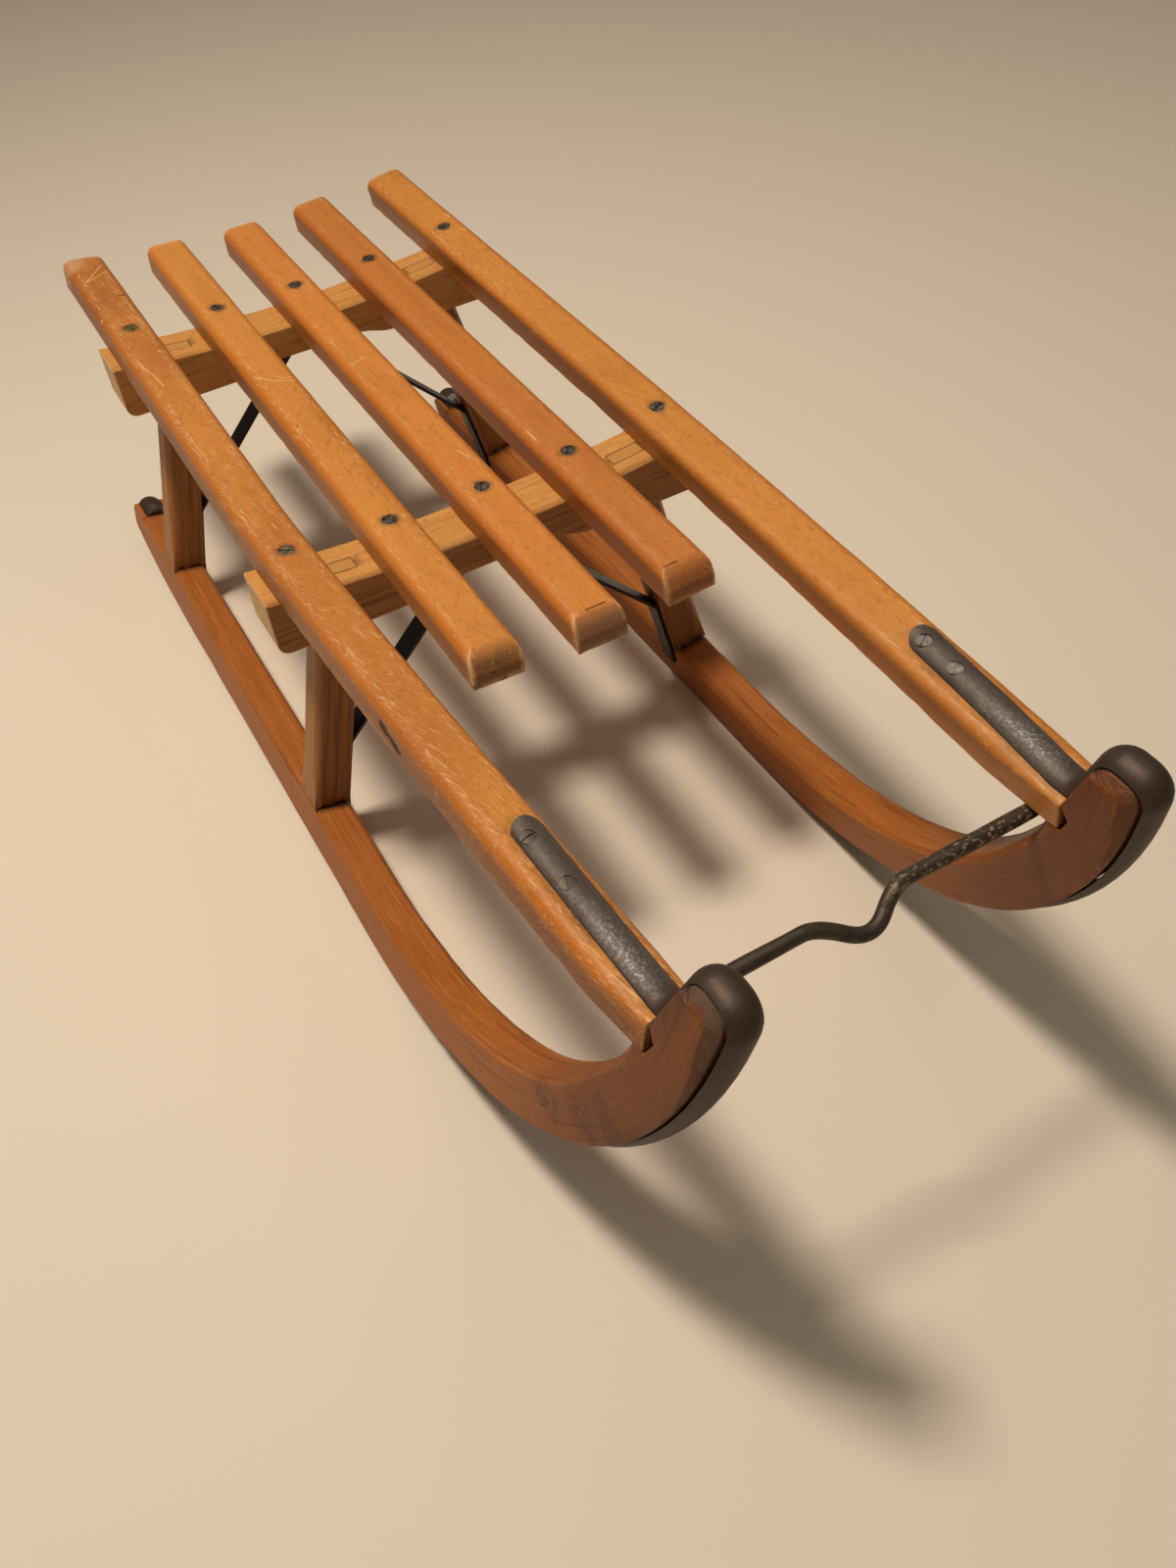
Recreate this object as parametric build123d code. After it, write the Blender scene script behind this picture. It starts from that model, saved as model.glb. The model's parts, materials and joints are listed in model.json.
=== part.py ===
from build123d import *
from math import asin, cos, degrees, radians, sin, sqrt, tan
import os

# Wooden two-bridge sled with iron-shod runners.
# Millimetres. +X is forward (curled noses), +Y is left, +Z is up.
# Local x = 0 is the middle of the front crossbar. The last step moves the
# whole sled so that the bottom centre of its box is the origin.

os.makedirs("parts", exist_ok=True)

# Runners
runner_thick = 30.0
runner_depth = 42.6
runner_lean = 10.3
runner_foot_y = 178.5
runner_edge = 4.0
sweep_start = 107.0
sweep_arcs = [
    {"radius": 398.0, "turn": 23.5},
    {"radius": 409.0, "turn": 15.9},
    {"radius": 350.0, "turn": 44.6},
]
heel_start = -330.0
heel_radius = 750.0
heel_flat = 14.2
tail_x = -486.0
tail_round = 9.0

# Nose of a runner
crown_rise = 49.0
crown_back = 16.8
crown_round = 12.0
crown_edge = 5.0
crown_edge_drop = 8.0
notch_x = 447.5
notch_top = 299.0
notch_reach = 6.0
seat_back = 436.5

# Iron shoes
iron_wide = 20.0
iron_crown = 5.0
iron_stand_off = 1.5
iron_ease = 8.0
strap_end_x = 302.0
strap_join = 13.0
tongue_x = -452.0

# Crossbars
bar_spacing = 360.0
bar_wide = 45.0
bar_proud = 10.5
bar_low = 220.0
bar_arch = 7.0
bar_arch_half = 40.0
bar_arch_run = 35.0
bar_round = 9.0

# Slats
slat_wide = 37.0
slat_thick = 24.0
slat_round = 8.0
slat_tip_wide = 30.0
slat_tip_thick = 23.0
slat_nose = 13.0
slat_nose_deep = 15.0
slat_nose_bulge = 2.2
slat_let_in = 0.3
tip_gap = 0.3
bend_start = -60.0
bend_mid = 380.0
bend_power = 1.35
facet_start = 400.0
seat_top = 285.0
seat_hollow = 8.4
outer_slat_y = 147.0
inner_slat_y = 70.8

# Posts
post_wide = 30.0
post_deep = 28.0
post_splay = 14.3
post_x = -4.0
tenon_x = 1.0
tenon_deep = 12.0
tenon_wide = 26.0
foot_tenon_wide = 18.0
foot_tenon_long = 24.0
tenon_gap = 0.2

# Braces
brace_wide = 18.0
brace_thick = 3.0
brace_x = -5.0
brace_foot_h = 24.0
brace_bend_z = 98.0
brace_top_y = 14.0
brace_bend = 8.0

# Tow rod
rod_round = 9.2
rod_x = 426.0
rod_under = 0.3
rod_turn = 9.0
rod_bend = 15.0
rod_dip = 17.7
rod_dip_lean = 45.0
rod_dip_points = [
    {"y": -37.8, "down": 0.0},
    {"y": -2.2, "down": 1.0},
    {"y": 9.6, "down": 1.0},
    {"y": 26.7, "down": 0.0},
]
rod_socket = 10.0
rod_gap = 0.2

# Derived sizes
iron_radius = ((iron_wide / 2) ** 2 + iron_crown**2) / (2 * iron_crown)
lean = radians(runner_lean)
splay = radians(post_splay)
heel_turn = degrees(asin((heel_start - heel_flat - tail_x) / heel_radius))
sole_rise = iron_radius - (iron_radius - iron_crown) * cos(lean)
seat_radius = outer_slat_y**2 / (2 * seat_hollow)
seat_low = seat_top - seat_hollow
bar_half_long = outer_slat_y + slat_wide / 2 + bar_proud
crown_top = notch_top + crown_rise
crown_rear = notch_x + crown_back


def seat_z(y):
    """Height of the hollow seat surface at a distance from the middle."""
    return seat_low + y**2 / (2 * seat_radius)


def runner_point(s, h):
    """Y and Z of a point of the left runner, out by s and up by h in its leaning frame."""
    y = runner_foot_y + s * cos(lean) - h * sin(lean)
    z = sole_rise + h * cos(lean) + s * sin(lean)
    return y, z


def slat_bend(x):
    """Share of the bend of an outer slat reached at x, 0 at the bar and 1 at the tip."""
    if x <= bend_start:
        return 0.0
    return ((x - bend_start) / (notch_x - tip_gap - bend_start)) ** bend_power


def slat_centre(x):
    """Y and Z of the middle of the top of the left outer slat at x."""
    tip_y, tip_z = runner_point(0, notch_top)
    share = slat_bend(x)
    y = outer_slat_y + (tip_y - outer_slat_y) * share
    z = seat_top + (tip_z - seat_top) * share
    return y, z


def slat_h(x):
    """Height of the top of the left outer slat along the lean of the runner."""
    y, z = slat_centre(x)
    return (z - sole_rise) * cos(lean) - (y - runner_foot_y) * sin(lean)


def lean_left(shape):
    """Put a shape drawn upright in the XZ plane at the left runner."""
    return Pos(0, runner_foot_y, sole_rise) * Rot(X=runner_lean) * shape


def on_side(shape, side):
    """The left-hand shape for side 1, its mirror image for side -1."""
    if side > 0:
        return shape
    return mirror(shape, about=Plane.XZ)


def sweep_edges(spare):
    """Tangent arcs from the flat sole up to the front of the nose."""
    edges = []
    at = Vector(sweep_start, 0)
    heading = Vector(1, 0)
    for row in sweep_arcs:
        radius = row["radius"]
        if row is sweep_arcs[-1]:
            radius = radius + spare
        arc = JernArc(start=at, tangent=heading, radius=radius, arc_size=row["turn"])
        at = arc @ 1
        heading = arc % 1
        edges.append(arc)
    return edges


def nose_corners(edges, spare):
    """Front end of the sweep and the two upper corners of the nose."""
    at = edges[-1] @ 1
    heading = edges[-1] % 1
    top = crown_top + spare
    front = at.X + heading.X / heading.Y * (top - at.Y)
    slope = (crown_rear - notch_x) / (crown_top - notch_top)
    rear = crown_rear + slope * spare
    return (at.X, at.Y), (front, top), (rear, top)


def face_of(*lines):
    """A face in the XZ plane inside a closed run of lines."""
    edges = []
    for line in lines:
        edges.extend(line.edges())
    return Plane.XZ * make_face(edges)


def heel_edges():
    """Heel arc and the rounded tail, from the sole to the top of the runner."""
    arc = JernArc(start=(heel_start, 0), tangent=(-1, 0), radius=heel_radius, arc_size=-heel_turn)
    at = arc @ 1
    heading = arc % 1
    low = at.Y + heading.Y / heading.X * (tail_x - at.X)
    tail = FilletPolyline(
        (at.X, at.Y),
        (tail_x, low),
        (tail_x, runner_depth),
        (tongue_x, runner_depth),
        radius=tail_round,
    )
    return arc, tail


# Runner wood, drawn upright and then leaned over
sweep_wood = sweep_edges(0)
nose_low, nose_front, nose_rear = nose_corners(sweep_wood, 0)
heel, tail = heel_edges()
nose_wall = (notch_x, notch_top)
crown = FilletPolyline(nose_low, nose_front, nose_rear, nose_wall, radius=crown_round)
tip_x = notch_x - tip_gap
tip_low = notch_top - slat_tip_thick
mid_low = slat_h(bend_mid) - slat_thick
seat_slope = (tip_low - mid_low) / (tip_x - bend_mid)
notch_deep = (notch_x + notch_reach, notch_top - 1.5 * notch_reach)
notch_foot = (notch_x + 1, tip_low + seat_slope * (notch_x + 1 - tip_x))
seat_start = (seat_back, tip_low + seat_slope * (seat_back - tip_x))
notch = Polyline(nose_wall, notch_deep, notch_foot, seat_start)
inner_points = [
    seat_start,
    (434.0, 262.0),
    (417.5, 226.0),
    (400.0, 193.5),
    (379.0, 163.0),
    (351.0, 132.5),
    (319.0, 107.0),
    (279.0, 83.5),
    (238.0, 66.0),
    (202.0, 55.5),
    (163.0, 47.8),
    (sweep_start + 5, runner_depth),
]
inner = Spline(inner_points, tangents=[(-0.1, -1.0), (-1.0, 0.0)], tangent_scalars=[1.0, 1.0])
top_line = Line((sweep_start + 5, runner_depth), (tongue_x, runner_depth))
sole = Line((heel_start, 0), (sweep_start, 0))
runner_face = face_of(heel, tail, top_line, inner, notch, crown, *sweep_wood, sole)
runner_blank = extrude(runner_face, amount=runner_thick / 2, both=True)


def edge_cut(lines, across, drop):
    """Sloping cut along one long edge of the runner and its mirror image on the other side."""
    edges = []
    for line in lines:
        edges.extend(line.edges())
    path = Plane.XZ * Wire(edges)
    path = Pos(0, runner_thick / 2, 0) * path
    heading = path % 0
    out = Vector(heading.Z, 0, -heading.X)
    start = Plane(origin=path @ 0, x_dir=Vector(0, 1, 0), z_dir=heading)
    turn = 1 if start.y_dir.dot(out) > 0 else -1
    wedge = start * make_face(
        Polyline(
            (-1.25 * across, turn * 0.25 * drop),
            (0.25 * across, -turn * 1.25 * drop),
            (across, turn * drop),
            close=True,
        ).edges()
    )
    cut = sweep(wedge, path=path)
    return cut + mirror(cut, about=Plane.XZ)


runner_blank = runner_blank - edge_cut([inner, top_line], runner_edge, runner_edge)
crown_lines = crown.edges()[1:4]
runner_blank = runner_blank - edge_cut(crown_lines, crown_edge, crown_edge_drop)


def post_plane(up):
    """Plane square to the left post axis, up along it from the foot shoulder."""
    foot_y, foot_z = runner_point(0, runner_depth)
    axis = Vector(0, -sin(splay), cos(splay))
    origin = Vector(post_x, foot_y, foot_z) + axis * up
    return Plane(origin=origin, x_dir=Vector(1, 0, 0), z_dir=axis)


# Crossbar, drawn across the sled and given its width along X
def bar_outline():
    """Face of a crossbar seen from the front."""
    half = bar_half_long
    top = seat_z(half) - slat_thick + slat_let_in
    top_mid = seat_z(0) - slat_thick + slat_let_in
    arch_z = bar_low + bar_arch
    arch_near = bar_arch_half
    arch_far = bar_arch_half + bar_arch_run
    with BuildSketch(Plane.YZ) as face:
        with BuildLine():
            Line((-half, top), (-half, bar_low))
            Line((-half, bar_low), (-arch_far, bar_low))
            Spline(
                (-arch_far, bar_low),
                (-arch_near, arch_z),
                tangents=[(1, 0), (1, 0)],
            )
            Line((-arch_near, arch_z), (arch_near, arch_z))
            Spline(
                (arch_near, arch_z),
                (arch_far, bar_low),
                tangents=[(1, 0), (1, 0)],
            )
            Line((arch_far, bar_low), (half, bar_low))
            Line((half, bar_low), (half, top))
            ThreePointArc((half, top), (0, top_mid), (-half, top))
        make_face()
    return face.sketch


bar_face = bar_outline()
bar_blank = extrude(bar_face, amount=bar_wide / 2, both=True)
low_edges = []
for edge in bar_blank.edges():
    middle = edge @ 0.5
    if abs(abs(middle.Y) - bar_half_long) < 0.01 and abs(middle.Z - bar_low) < 0.01:
        low_edges.append(edge)
bar_blank = fillet(low_edges, bar_round)

# One post with its tenons, at the left end of the front crossbar
slab = 4 * runner_foot_y
post_long = bar_low + tenon_wide
shaft = extrude(post_plane(-post_wide) * Rectangle(post_deep, post_wide), amount=post_long + post_wide)
above = Pos(0, 0, bar_low + slab / 2) * Box(slab, 2 * slab, slab)
below = lean_left(Pos(0, 0, runner_depth - slab / 2) * Box(2 * slab, slab, slab))
post_body = shaft - above - below


def tenon(wide, deep, low, high):
    """Square peg along the post axis, from low to high above the foot shoulder."""
    base = post_plane(low) * Pos(tenon_x - post_x, 0) * Rectangle(deep, wide)
    return extrude(base, amount=high - low)


bar_peg = tenon(tenon_wide, tenon_deep, bar_low / 2, post_long) & bar_blank
foot_peg = tenon(foot_tenon_wide, tenon_deep, -foot_tenon_long, tenon_deep)
bar_socket = tenon(tenon_wide + 2 * tenon_gap, tenon_deep + 2 * tenon_gap, bar_low / 2, post_long)
foot_socket = tenon(
    foot_tenon_wide + 2 * tenon_gap,
    tenon_deep + 2 * tenon_gap,
    -foot_tenon_long - tenon_gap,
    tenon_deep,
)
post_left = post_body + bar_peg + foot_peg

parts = {}
bars = [
    {"name": "front", "x": 0.0},
    {"name": "rear", "x": -bar_spacing},
]
sides = [
    {"name": "left", "side": 1, "strap_shift": 3.5},
    {"name": "right", "side": -1, "strap_shift": -4.0},
]

for bar in bars:
    wood = bar_blank - bar_socket - mirror(bar_socket, about=Plane.XZ)
    parts["crossbar_" + bar["name"]] = Pos(bar["x"], 0, 0) * wood
    for row in sides:
        post = on_side(post_left, row["side"])
        parts["post_" + bar["name"] + "_" + row["name"]] = Pos(bar["x"], 0, 0) * post

# Slats
def slat_face(x, y, z, tilt, wide, thick, rounding):
    """Cross-section of a slat: flat below, long top edges rounded over."""
    plane = Plane(
        origin=Vector(x, y, z),
        x_dir=Vector(0, cos(tilt), sin(tilt)),
        z_dir=Vector(1, 0, 0),
    )
    half = wide / 2
    turn = rounding * (1 - sqrt(0.5))
    with BuildSketch(plane) as face:
        with BuildLine():
            Line((-half, -rounding), (-half, -thick))
            Line((-half, -thick), (half, -thick))
            Line((half, -thick), (half, -rounding))
            ThreePointArc((half, -rounding), (half - turn, -turn), (half - rounding, 0))
            Line((half - rounding, 0), (rounding - half, 0))
            ThreePointArc((rounding - half, 0), (turn - half, -turn), (-half, -rounding))
        make_face()
    return face.sketch


def outer_face(x):
    """Cross-section of the left outer slat at x."""
    y, z = slat_centre(x)
    rest = outer_slat_y / seat_radius
    along = min(1.0, max(0.0, (x - bend_start) / (strap_end_x - bend_start)))
    tilt = rest + (lean - rest) * along
    late = max(0.0, (x - bend_mid) / (tip_x - bend_mid))
    thick = slat_thick + (slat_tip_thick - slat_thick) * late
    return slat_face(x, y, z, tilt, slat_wide, thick, slat_round)


def tip_facets():
    """Wedges that cut the sides of the left outer slat flush with the nose."""
    tip_y, tip_z = slat_centre(tip_x)
    plane = Plane(
        origin=Vector(tip_x, tip_y, tip_z),
        x_dir=Vector(-1, 0, 0),
        z_dir=Vector(0, sin(lean), -cos(lean)),
    )
    long = tip_x - facet_start
    start_y, start_z = slat_centre(facet_start)
    drift = (start_y - tip_y) / cos(lean)
    cuts = []
    for side in (1, -1):
        inner_tip = side * slat_tip_wide / 2
        inner_start = side * slat_wide / 2 + drift
        slope = (inner_start - inner_tip) / long
        face = plane * make_face(
            Polyline(
                (-5, inner_tip - 5 * slope),
                (long + 10, inner_start + 10 * slope),
                (long + 10, inner_start + side * slat_wide),
                (-5, inner_tip + side * slat_wide),
                close=True,
            ).edges()
        )
        cuts.append(extrude(face, amount=2 * slat_thick, both=True))
    return cuts


def outer_slat(rear):
    """Left outer slat: straight over the bars, then bent in and up to the nose."""
    straight = extrude(outer_face(bend_start), amount=rear - bend_start)
    stations = [bend_start]
    for step in (1, 2, 3):
        stations.append(bend_start + (strap_end_x - bend_start) * step / 3)
    bent = loft([outer_face(x) for x in stations])
    flat = loft([outer_face(strap_end_x), outer_face(bend_mid)], ruled=True)
    tip = loft([outer_face(bend_mid), outer_face(tip_x)], ruled=True)
    board = straight + bent + flat + tip
    for cut in tip_facets():
        board = board - cut
    return board


def inner_slat(rear, front, centre):
    """Straight slat with a bull-nosed front end."""
    face = slat_face(rear, 0, 0, 0, slat_wide, slat_thick, slat_round)
    board = extrude(face, amount=front - rear)
    chord = sqrt(slat_nose**2 + slat_nose_deep**2)
    nose_top = (front - slat_nose, 0)
    nose_low = (front, -slat_nose_deep)
    nose_mid = (
        front - slat_nose / 2 + slat_nose_bulge * slat_nose_deep / chord,
        -slat_nose_deep / 2 + slat_nose_bulge * slat_nose / chord,
    )
    with BuildSketch(Plane.XZ) as waste:
        with BuildLine():
            ThreePointArc(nose_low, nose_mid, nose_top)
            Polyline(nose_top, (front - slat_nose, 1), (front + 1, 1), (front + 1, -slat_nose_deep), nose_low)
        make_face()
    board = board - extrude(waste.sketch, amount=slat_wide, both=True)
    return Pos(0, centre, seat_z(centre)) * Rot(X=degrees(centre / seat_radius)) * board


slats = [
    {"name": "slat_1", "y": -outer_slat_y, "rear": -513.0, "front": 0.0},
    {"name": "slat_2", "y": -inner_slat_y - 1, "rear": -508.0, "front": 163.0},
    {"name": "slat_3", "y": 0.0, "rear": -501.0, "front": 168.0},
    {"name": "slat_4", "y": inner_slat_y, "rear": -503.0, "front": 162.0},
    {"name": "slat_5", "y": outer_slat_y, "rear": -497.0, "front": 0.0},
]
for row in slats:
    if abs(row["y"]) == outer_slat_y:
        board = on_side(outer_slat(row["rear"]), 1 if row["y"] > 0 else -1)
    else:
        board = inner_slat(row["rear"], row["front"], row["y"])
    for bar in bars:
        board = board - Pos(bar["x"], 0, 0) * bar_blank
    parts[row["name"]] = board

# Tow rod: ends turned forward into the noses under the slats, dip in the middle for the rope
under = slat_h(rod_x) - slat_thick
low_edge = runner_point(-slat_wide / 2, under)
rod_z = low_edge[1] - rod_round / 2 - rod_under
rod_h = (rod_z - sole_rise) / cos(lean)
rod_y = runner_point(0, rod_h)[0]
rod_end_x = seat_back + rod_socket
dip = radians(rod_dip_lean)
rod_corners = [(rod_end_x, -rod_y, rod_z), (rod_x, -rod_y, rod_z)]
for row in rod_dip_points:
    drop = rod_dip * row["down"]
    rod_corners.append((rod_x + drop * sin(dip), row["y"], rod_z - drop * cos(dip)))
rod_corners.append((rod_x, rod_y, rod_z))
rod_corners.append((rod_end_x, rod_y, rod_z))
rod_bends = [rod_bend] * len(rod_dip_points)
rod_path = FilletPolyline(*rod_corners, radius=[rod_turn, *rod_bends, rod_turn])
rod_start = Plane(origin=rod_path @ 0, z_dir=rod_path % 0)
rod = sweep(rod_start * Circle(rod_round / 2), path=rod_path)
rod_hole = extrude(
    Plane(origin=Vector(rod_end_x + rod_gap, rod_y, rod_z), z_dir=Vector(-1, 0, 0))
    * Circle(rod_round / 2 + rod_gap),
    amount=rod_socket + rod_round,
)

# Runner: sockets for the posts and the rod
runner_left = lean_left(runner_blank) - rod_hole
for bar in bars:
    runner_left = runner_left - Pos(bar["x"], 0, 0) * foot_socket


# Iron shoe
def oval_face(plane):
    """Half-oval bar section, flat on the wood, crown along the plane's Y."""
    with BuildSketch(plane) as face:
        with BuildLine():
            Line((-iron_wide / 2, 0), (iron_wide / 2, 0))
            ThreePointArc((iron_wide / 2, 0), (0, iron_crown), (-iron_wide / 2, 0))
        make_face()
    return face.sketch


def strap_plane(x, shift):
    """Plane across the strap on the left outer slat, shifted outward along the slat."""
    y, z = slat_centre(x)
    return Plane(
        origin=Vector(x, y + shift * cos(lean), z + shift * sin(lean)),
        x_dir=Vector(0, cos(lean), sin(lean)),
        z_dir=Vector(1, 0, 0),
    )


iron_sweep = sweep_edges(iron_ease)
iron_low, iron_front, iron_rear = nose_corners(iron_sweep, iron_stand_off)
top_slope = (notch_top - slat_h(bend_mid)) / (tip_x - bend_mid)
strap_corner = (notch_x, notch_top + top_slope * tip_gap)
strap_start = (tip_x - strap_join, notch_top - top_slope * strap_join)
iron_head = FilletPolyline(
    strap_start, strap_corner, iron_rear, iron_front, iron_low, radius=crown_round
)
iron_heel, iron_tail = heel_edges()
iron_edges = []
for line in (iron_head, *iron_sweep, sole, iron_heel, iron_tail):
    iron_edges.extend(line.edges())
iron_path = Plane.XZ * Wire(iron_edges)
first = iron_path % 0
join_plane = Plane(origin=iron_path @ 0, x_dir=Vector(0, 1, 0), z_dir=first)
join_face = oval_face(join_plane)
shoe_run = lean_left(sweep(join_face, path=iron_path))
tongue_cut = Pos(tongue_x - iron_wide / 2, 0, runner_depth) * (
    Pos(iron_wide, 0, 0) * Box(2 * iron_wide, 2 * iron_wide, iron_wide)
    - Cylinder(iron_wide / 2, 2 * iron_wide)
)


def shoe(shift):
    """Left iron shoe with its strap shifted outward at the strap's end."""
    strap = loft(
        [
            oval_face(strap_plane(strap_end_x, shift)),
            oval_face(strap_plane(bend_mid, shift / 2)),
            lean_left(join_face),
        ],
        ruled=True,
    )
    end_y, end_z = slat_centre(strap_end_x)
    end = Pos(strap_end_x + iron_wide / 2, end_y + shift * cos(lean), end_z)
    strap_cut = end * Rot(X=runner_lean) * (
        Pos(-iron_wide, 0, 0) * Box(2 * iron_wide, 2 * iron_wide, 3 * iron_wide)
        - Cylinder(iron_wide / 2, 4 * iron_wide)
    )
    return shoe_run + (strap - strap_cut) - lean_left(tongue_cut)


for row in sides:
    parts["runner_" + row["name"]] = on_side(runner_left, row["side"])
    parts["iron_shoe_" + row["name"]] = on_side(shoe(row["strap_shift"]), row["side"])


# Braces: one bent strip at each bridge
def post_inner(z):
    """Y of the inner face of the left post at a height."""
    foot_y, foot_z = runner_point(0, runner_depth)
    y = foot_y - post_wide / 2 * cos(splay)
    low = foot_z - post_wide / 2 * sin(splay)
    return y - (z - low) * tan(splay)


def brace_strip():
    """Strip up the runner and the post, slanting in to the bar's underside, and down again."""
    foot_y, foot_z = runner_point(-runner_thick / 2, brace_foot_h)
    reach = (foot_y - post_inner(foot_z)) / (tan(lean) - tan(splay))
    meet_z = foot_z + reach
    meet_y = post_inner(meet_z)
    bend_y = post_inner(brace_bend_z)
    top_z = bar_low + bar_arch
    half = [
        (foot_y, foot_z),
        (meet_y, meet_z),
        (bend_y, brace_bend_z),
        (brace_top_y, top_z),
    ]
    other = [(-y, z) for y, z in reversed(half)]
    with BuildSketch(Plane.YZ) as face:
        with BuildLine():
            FilletPolyline(*half, *other, radius=brace_bend)
            offset(amount=brace_thick, side=Side.LEFT)
        make_face()
    return extrude(face.sketch, amount=brace_wide / 2, both=True)


brace = brace_strip()
for bar in bars:
    parts["brace_" + bar["name"]] = Pos(bar["x"] + brace_x, 0, 0) * brace
parts["tow_rod"] = rod

# Bottom centre of the whole sled at the origin
boxes = [shape.bounding_box() for shape in parts.values()]
rear_end = min(box.min.X for box in boxes)
front_end = max(box.max.X for box in boxes)
ground = min(box.min.Z for box in boxes)
placing = Pos(-(rear_end + front_end) / 2, 0, -ground)
for name, shape in parts.items():
    export_step(placing * shape, "parts/" + name + ".step")
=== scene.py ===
"""Looks of a wooden sled on iron-shod runners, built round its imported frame.

Metres in the frame's own axes: X runs forward to the curled noses, Y to the
left and Z up, with the floor at zero. Sizes written in the classes are
millimetres, as a maker would give them, and angles are degrees.
"""

from __future__ import annotations

import json
import logging
import math
from dataclasses import dataclass, field, replace
from enum import Enum
from typing import Callable, Iterable, Sequence, Union

import bmesh
import bpy
import numpy as np
from mathutils import Matrix, Vector, noise
from mathutils.bvhtree import BVHTree
from mathutils.geometry import intersect_point_line

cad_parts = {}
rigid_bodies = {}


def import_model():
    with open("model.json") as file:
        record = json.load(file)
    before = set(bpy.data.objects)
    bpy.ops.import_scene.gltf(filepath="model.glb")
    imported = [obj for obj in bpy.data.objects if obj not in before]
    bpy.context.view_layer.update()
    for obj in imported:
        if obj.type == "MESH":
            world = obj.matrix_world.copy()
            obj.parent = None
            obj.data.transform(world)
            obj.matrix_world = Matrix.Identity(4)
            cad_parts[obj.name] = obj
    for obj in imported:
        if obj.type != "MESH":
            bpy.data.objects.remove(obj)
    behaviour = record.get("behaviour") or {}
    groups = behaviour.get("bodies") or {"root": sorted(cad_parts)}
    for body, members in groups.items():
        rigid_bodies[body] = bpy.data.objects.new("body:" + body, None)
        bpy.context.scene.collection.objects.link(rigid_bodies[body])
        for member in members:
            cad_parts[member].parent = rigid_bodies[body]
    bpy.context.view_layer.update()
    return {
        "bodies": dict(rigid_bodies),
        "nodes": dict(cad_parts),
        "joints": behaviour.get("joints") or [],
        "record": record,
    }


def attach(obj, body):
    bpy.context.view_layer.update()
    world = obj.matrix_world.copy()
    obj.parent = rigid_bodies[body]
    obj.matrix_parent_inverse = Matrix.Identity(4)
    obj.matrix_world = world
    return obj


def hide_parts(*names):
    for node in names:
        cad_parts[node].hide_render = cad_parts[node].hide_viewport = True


LOG = logging.getLogger("sled")
MM = 0.001
CREASE = math.radians(55)
BODY = "root"
BAR_X = {"front": 8.19, "rear": -351.81}
UP = Vector((0, 0, 1))
LEFTWARD = Vector((0, 1, 0))
MATH = "ShaderNodeMath"
VECTOR_MATH = "ShaderNodeVectorMath"
MAP_RANGE = "ShaderNodeMapRange"
# Waves of the wear's noise per metre: about 36 mm long on the faces and 13 mm
# on the arrises, where only what is over the threshold goes into the wood.
FACE_WAVES = 28
ARRIS_WAVES = 75
ARRIS_THRESHOLD = 0.1
# How squarely the fibres meet a face where it starts to look like end grain,
# and how much more it takes until it is nothing else.
END_START = 0.5
END_RISE = 0.3

Socket = bpy.types.NodeSocket
Given = Union[float, Sequence[float], Socket]
Place = tuple[float, float, float]
Stroke = tuple[Place, Place, float]
Rule = Callable[[np.ndarray], np.ndarray]


class Side(Enum):
    """The two sides of the sled, by the sign of Y."""

    LEFT = 1
    RIGHT = -1

    @property
    def word(self) -> str:
        """The side as it stands in the names of the pieces."""
        return self.name.lower()


def linear(code: str) -> tuple[float, float, float, float]:
    """Turn an sRGB hex colour into linear light.

    Args:
        code: Six hex digits after a hash.

    Returns:
        Red, green, blue and an alpha of one.
    """
    parts = [int(code[i : i + 2], 16) / 255 for i in (1, 3, 5)]
    light = [c / 12.92 if c <= 0.04045 else ((c + 0.055) / 1.055) ** 2.4 for c in parts]
    return light[0], light[1], light[2], 1.0


def feed(tree: bpy.types.NodeTree, entry: Socket, value: Given) -> None:
    """Link a socket to a node's input, or set the input to a plain value.

    Args:
        tree: The material's node tree.
        entry: The input.
        value: What goes in.
    """
    if isinstance(value, Socket):
        tree.links.new(value, entry)
    else:
        entry.default_value = value


def add(
    tree: bpy.types.NodeTree,
    kind: str,
    inputs: dict[int | str, Given],
    output: int | str = 0,
    **settings: object,
) -> Socket:
    """Add one node with its settings and its links.

    Args:
        tree: The material's node tree.
        kind: Blender's name for the kind of node.
        inputs: Value or socket for each input, by its name or number.
        output: The output that is wanted, by its name or number.
        **settings: Properties of the node itself.

    Returns:
        That output.
    """
    node = tree.nodes.new(kind)
    for key, value in settings.items():
        setattr(node, key, value)
    for key, value in inputs.items():
        feed(tree, node.inputs[key], value)
    return node.outputs[output]


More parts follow.
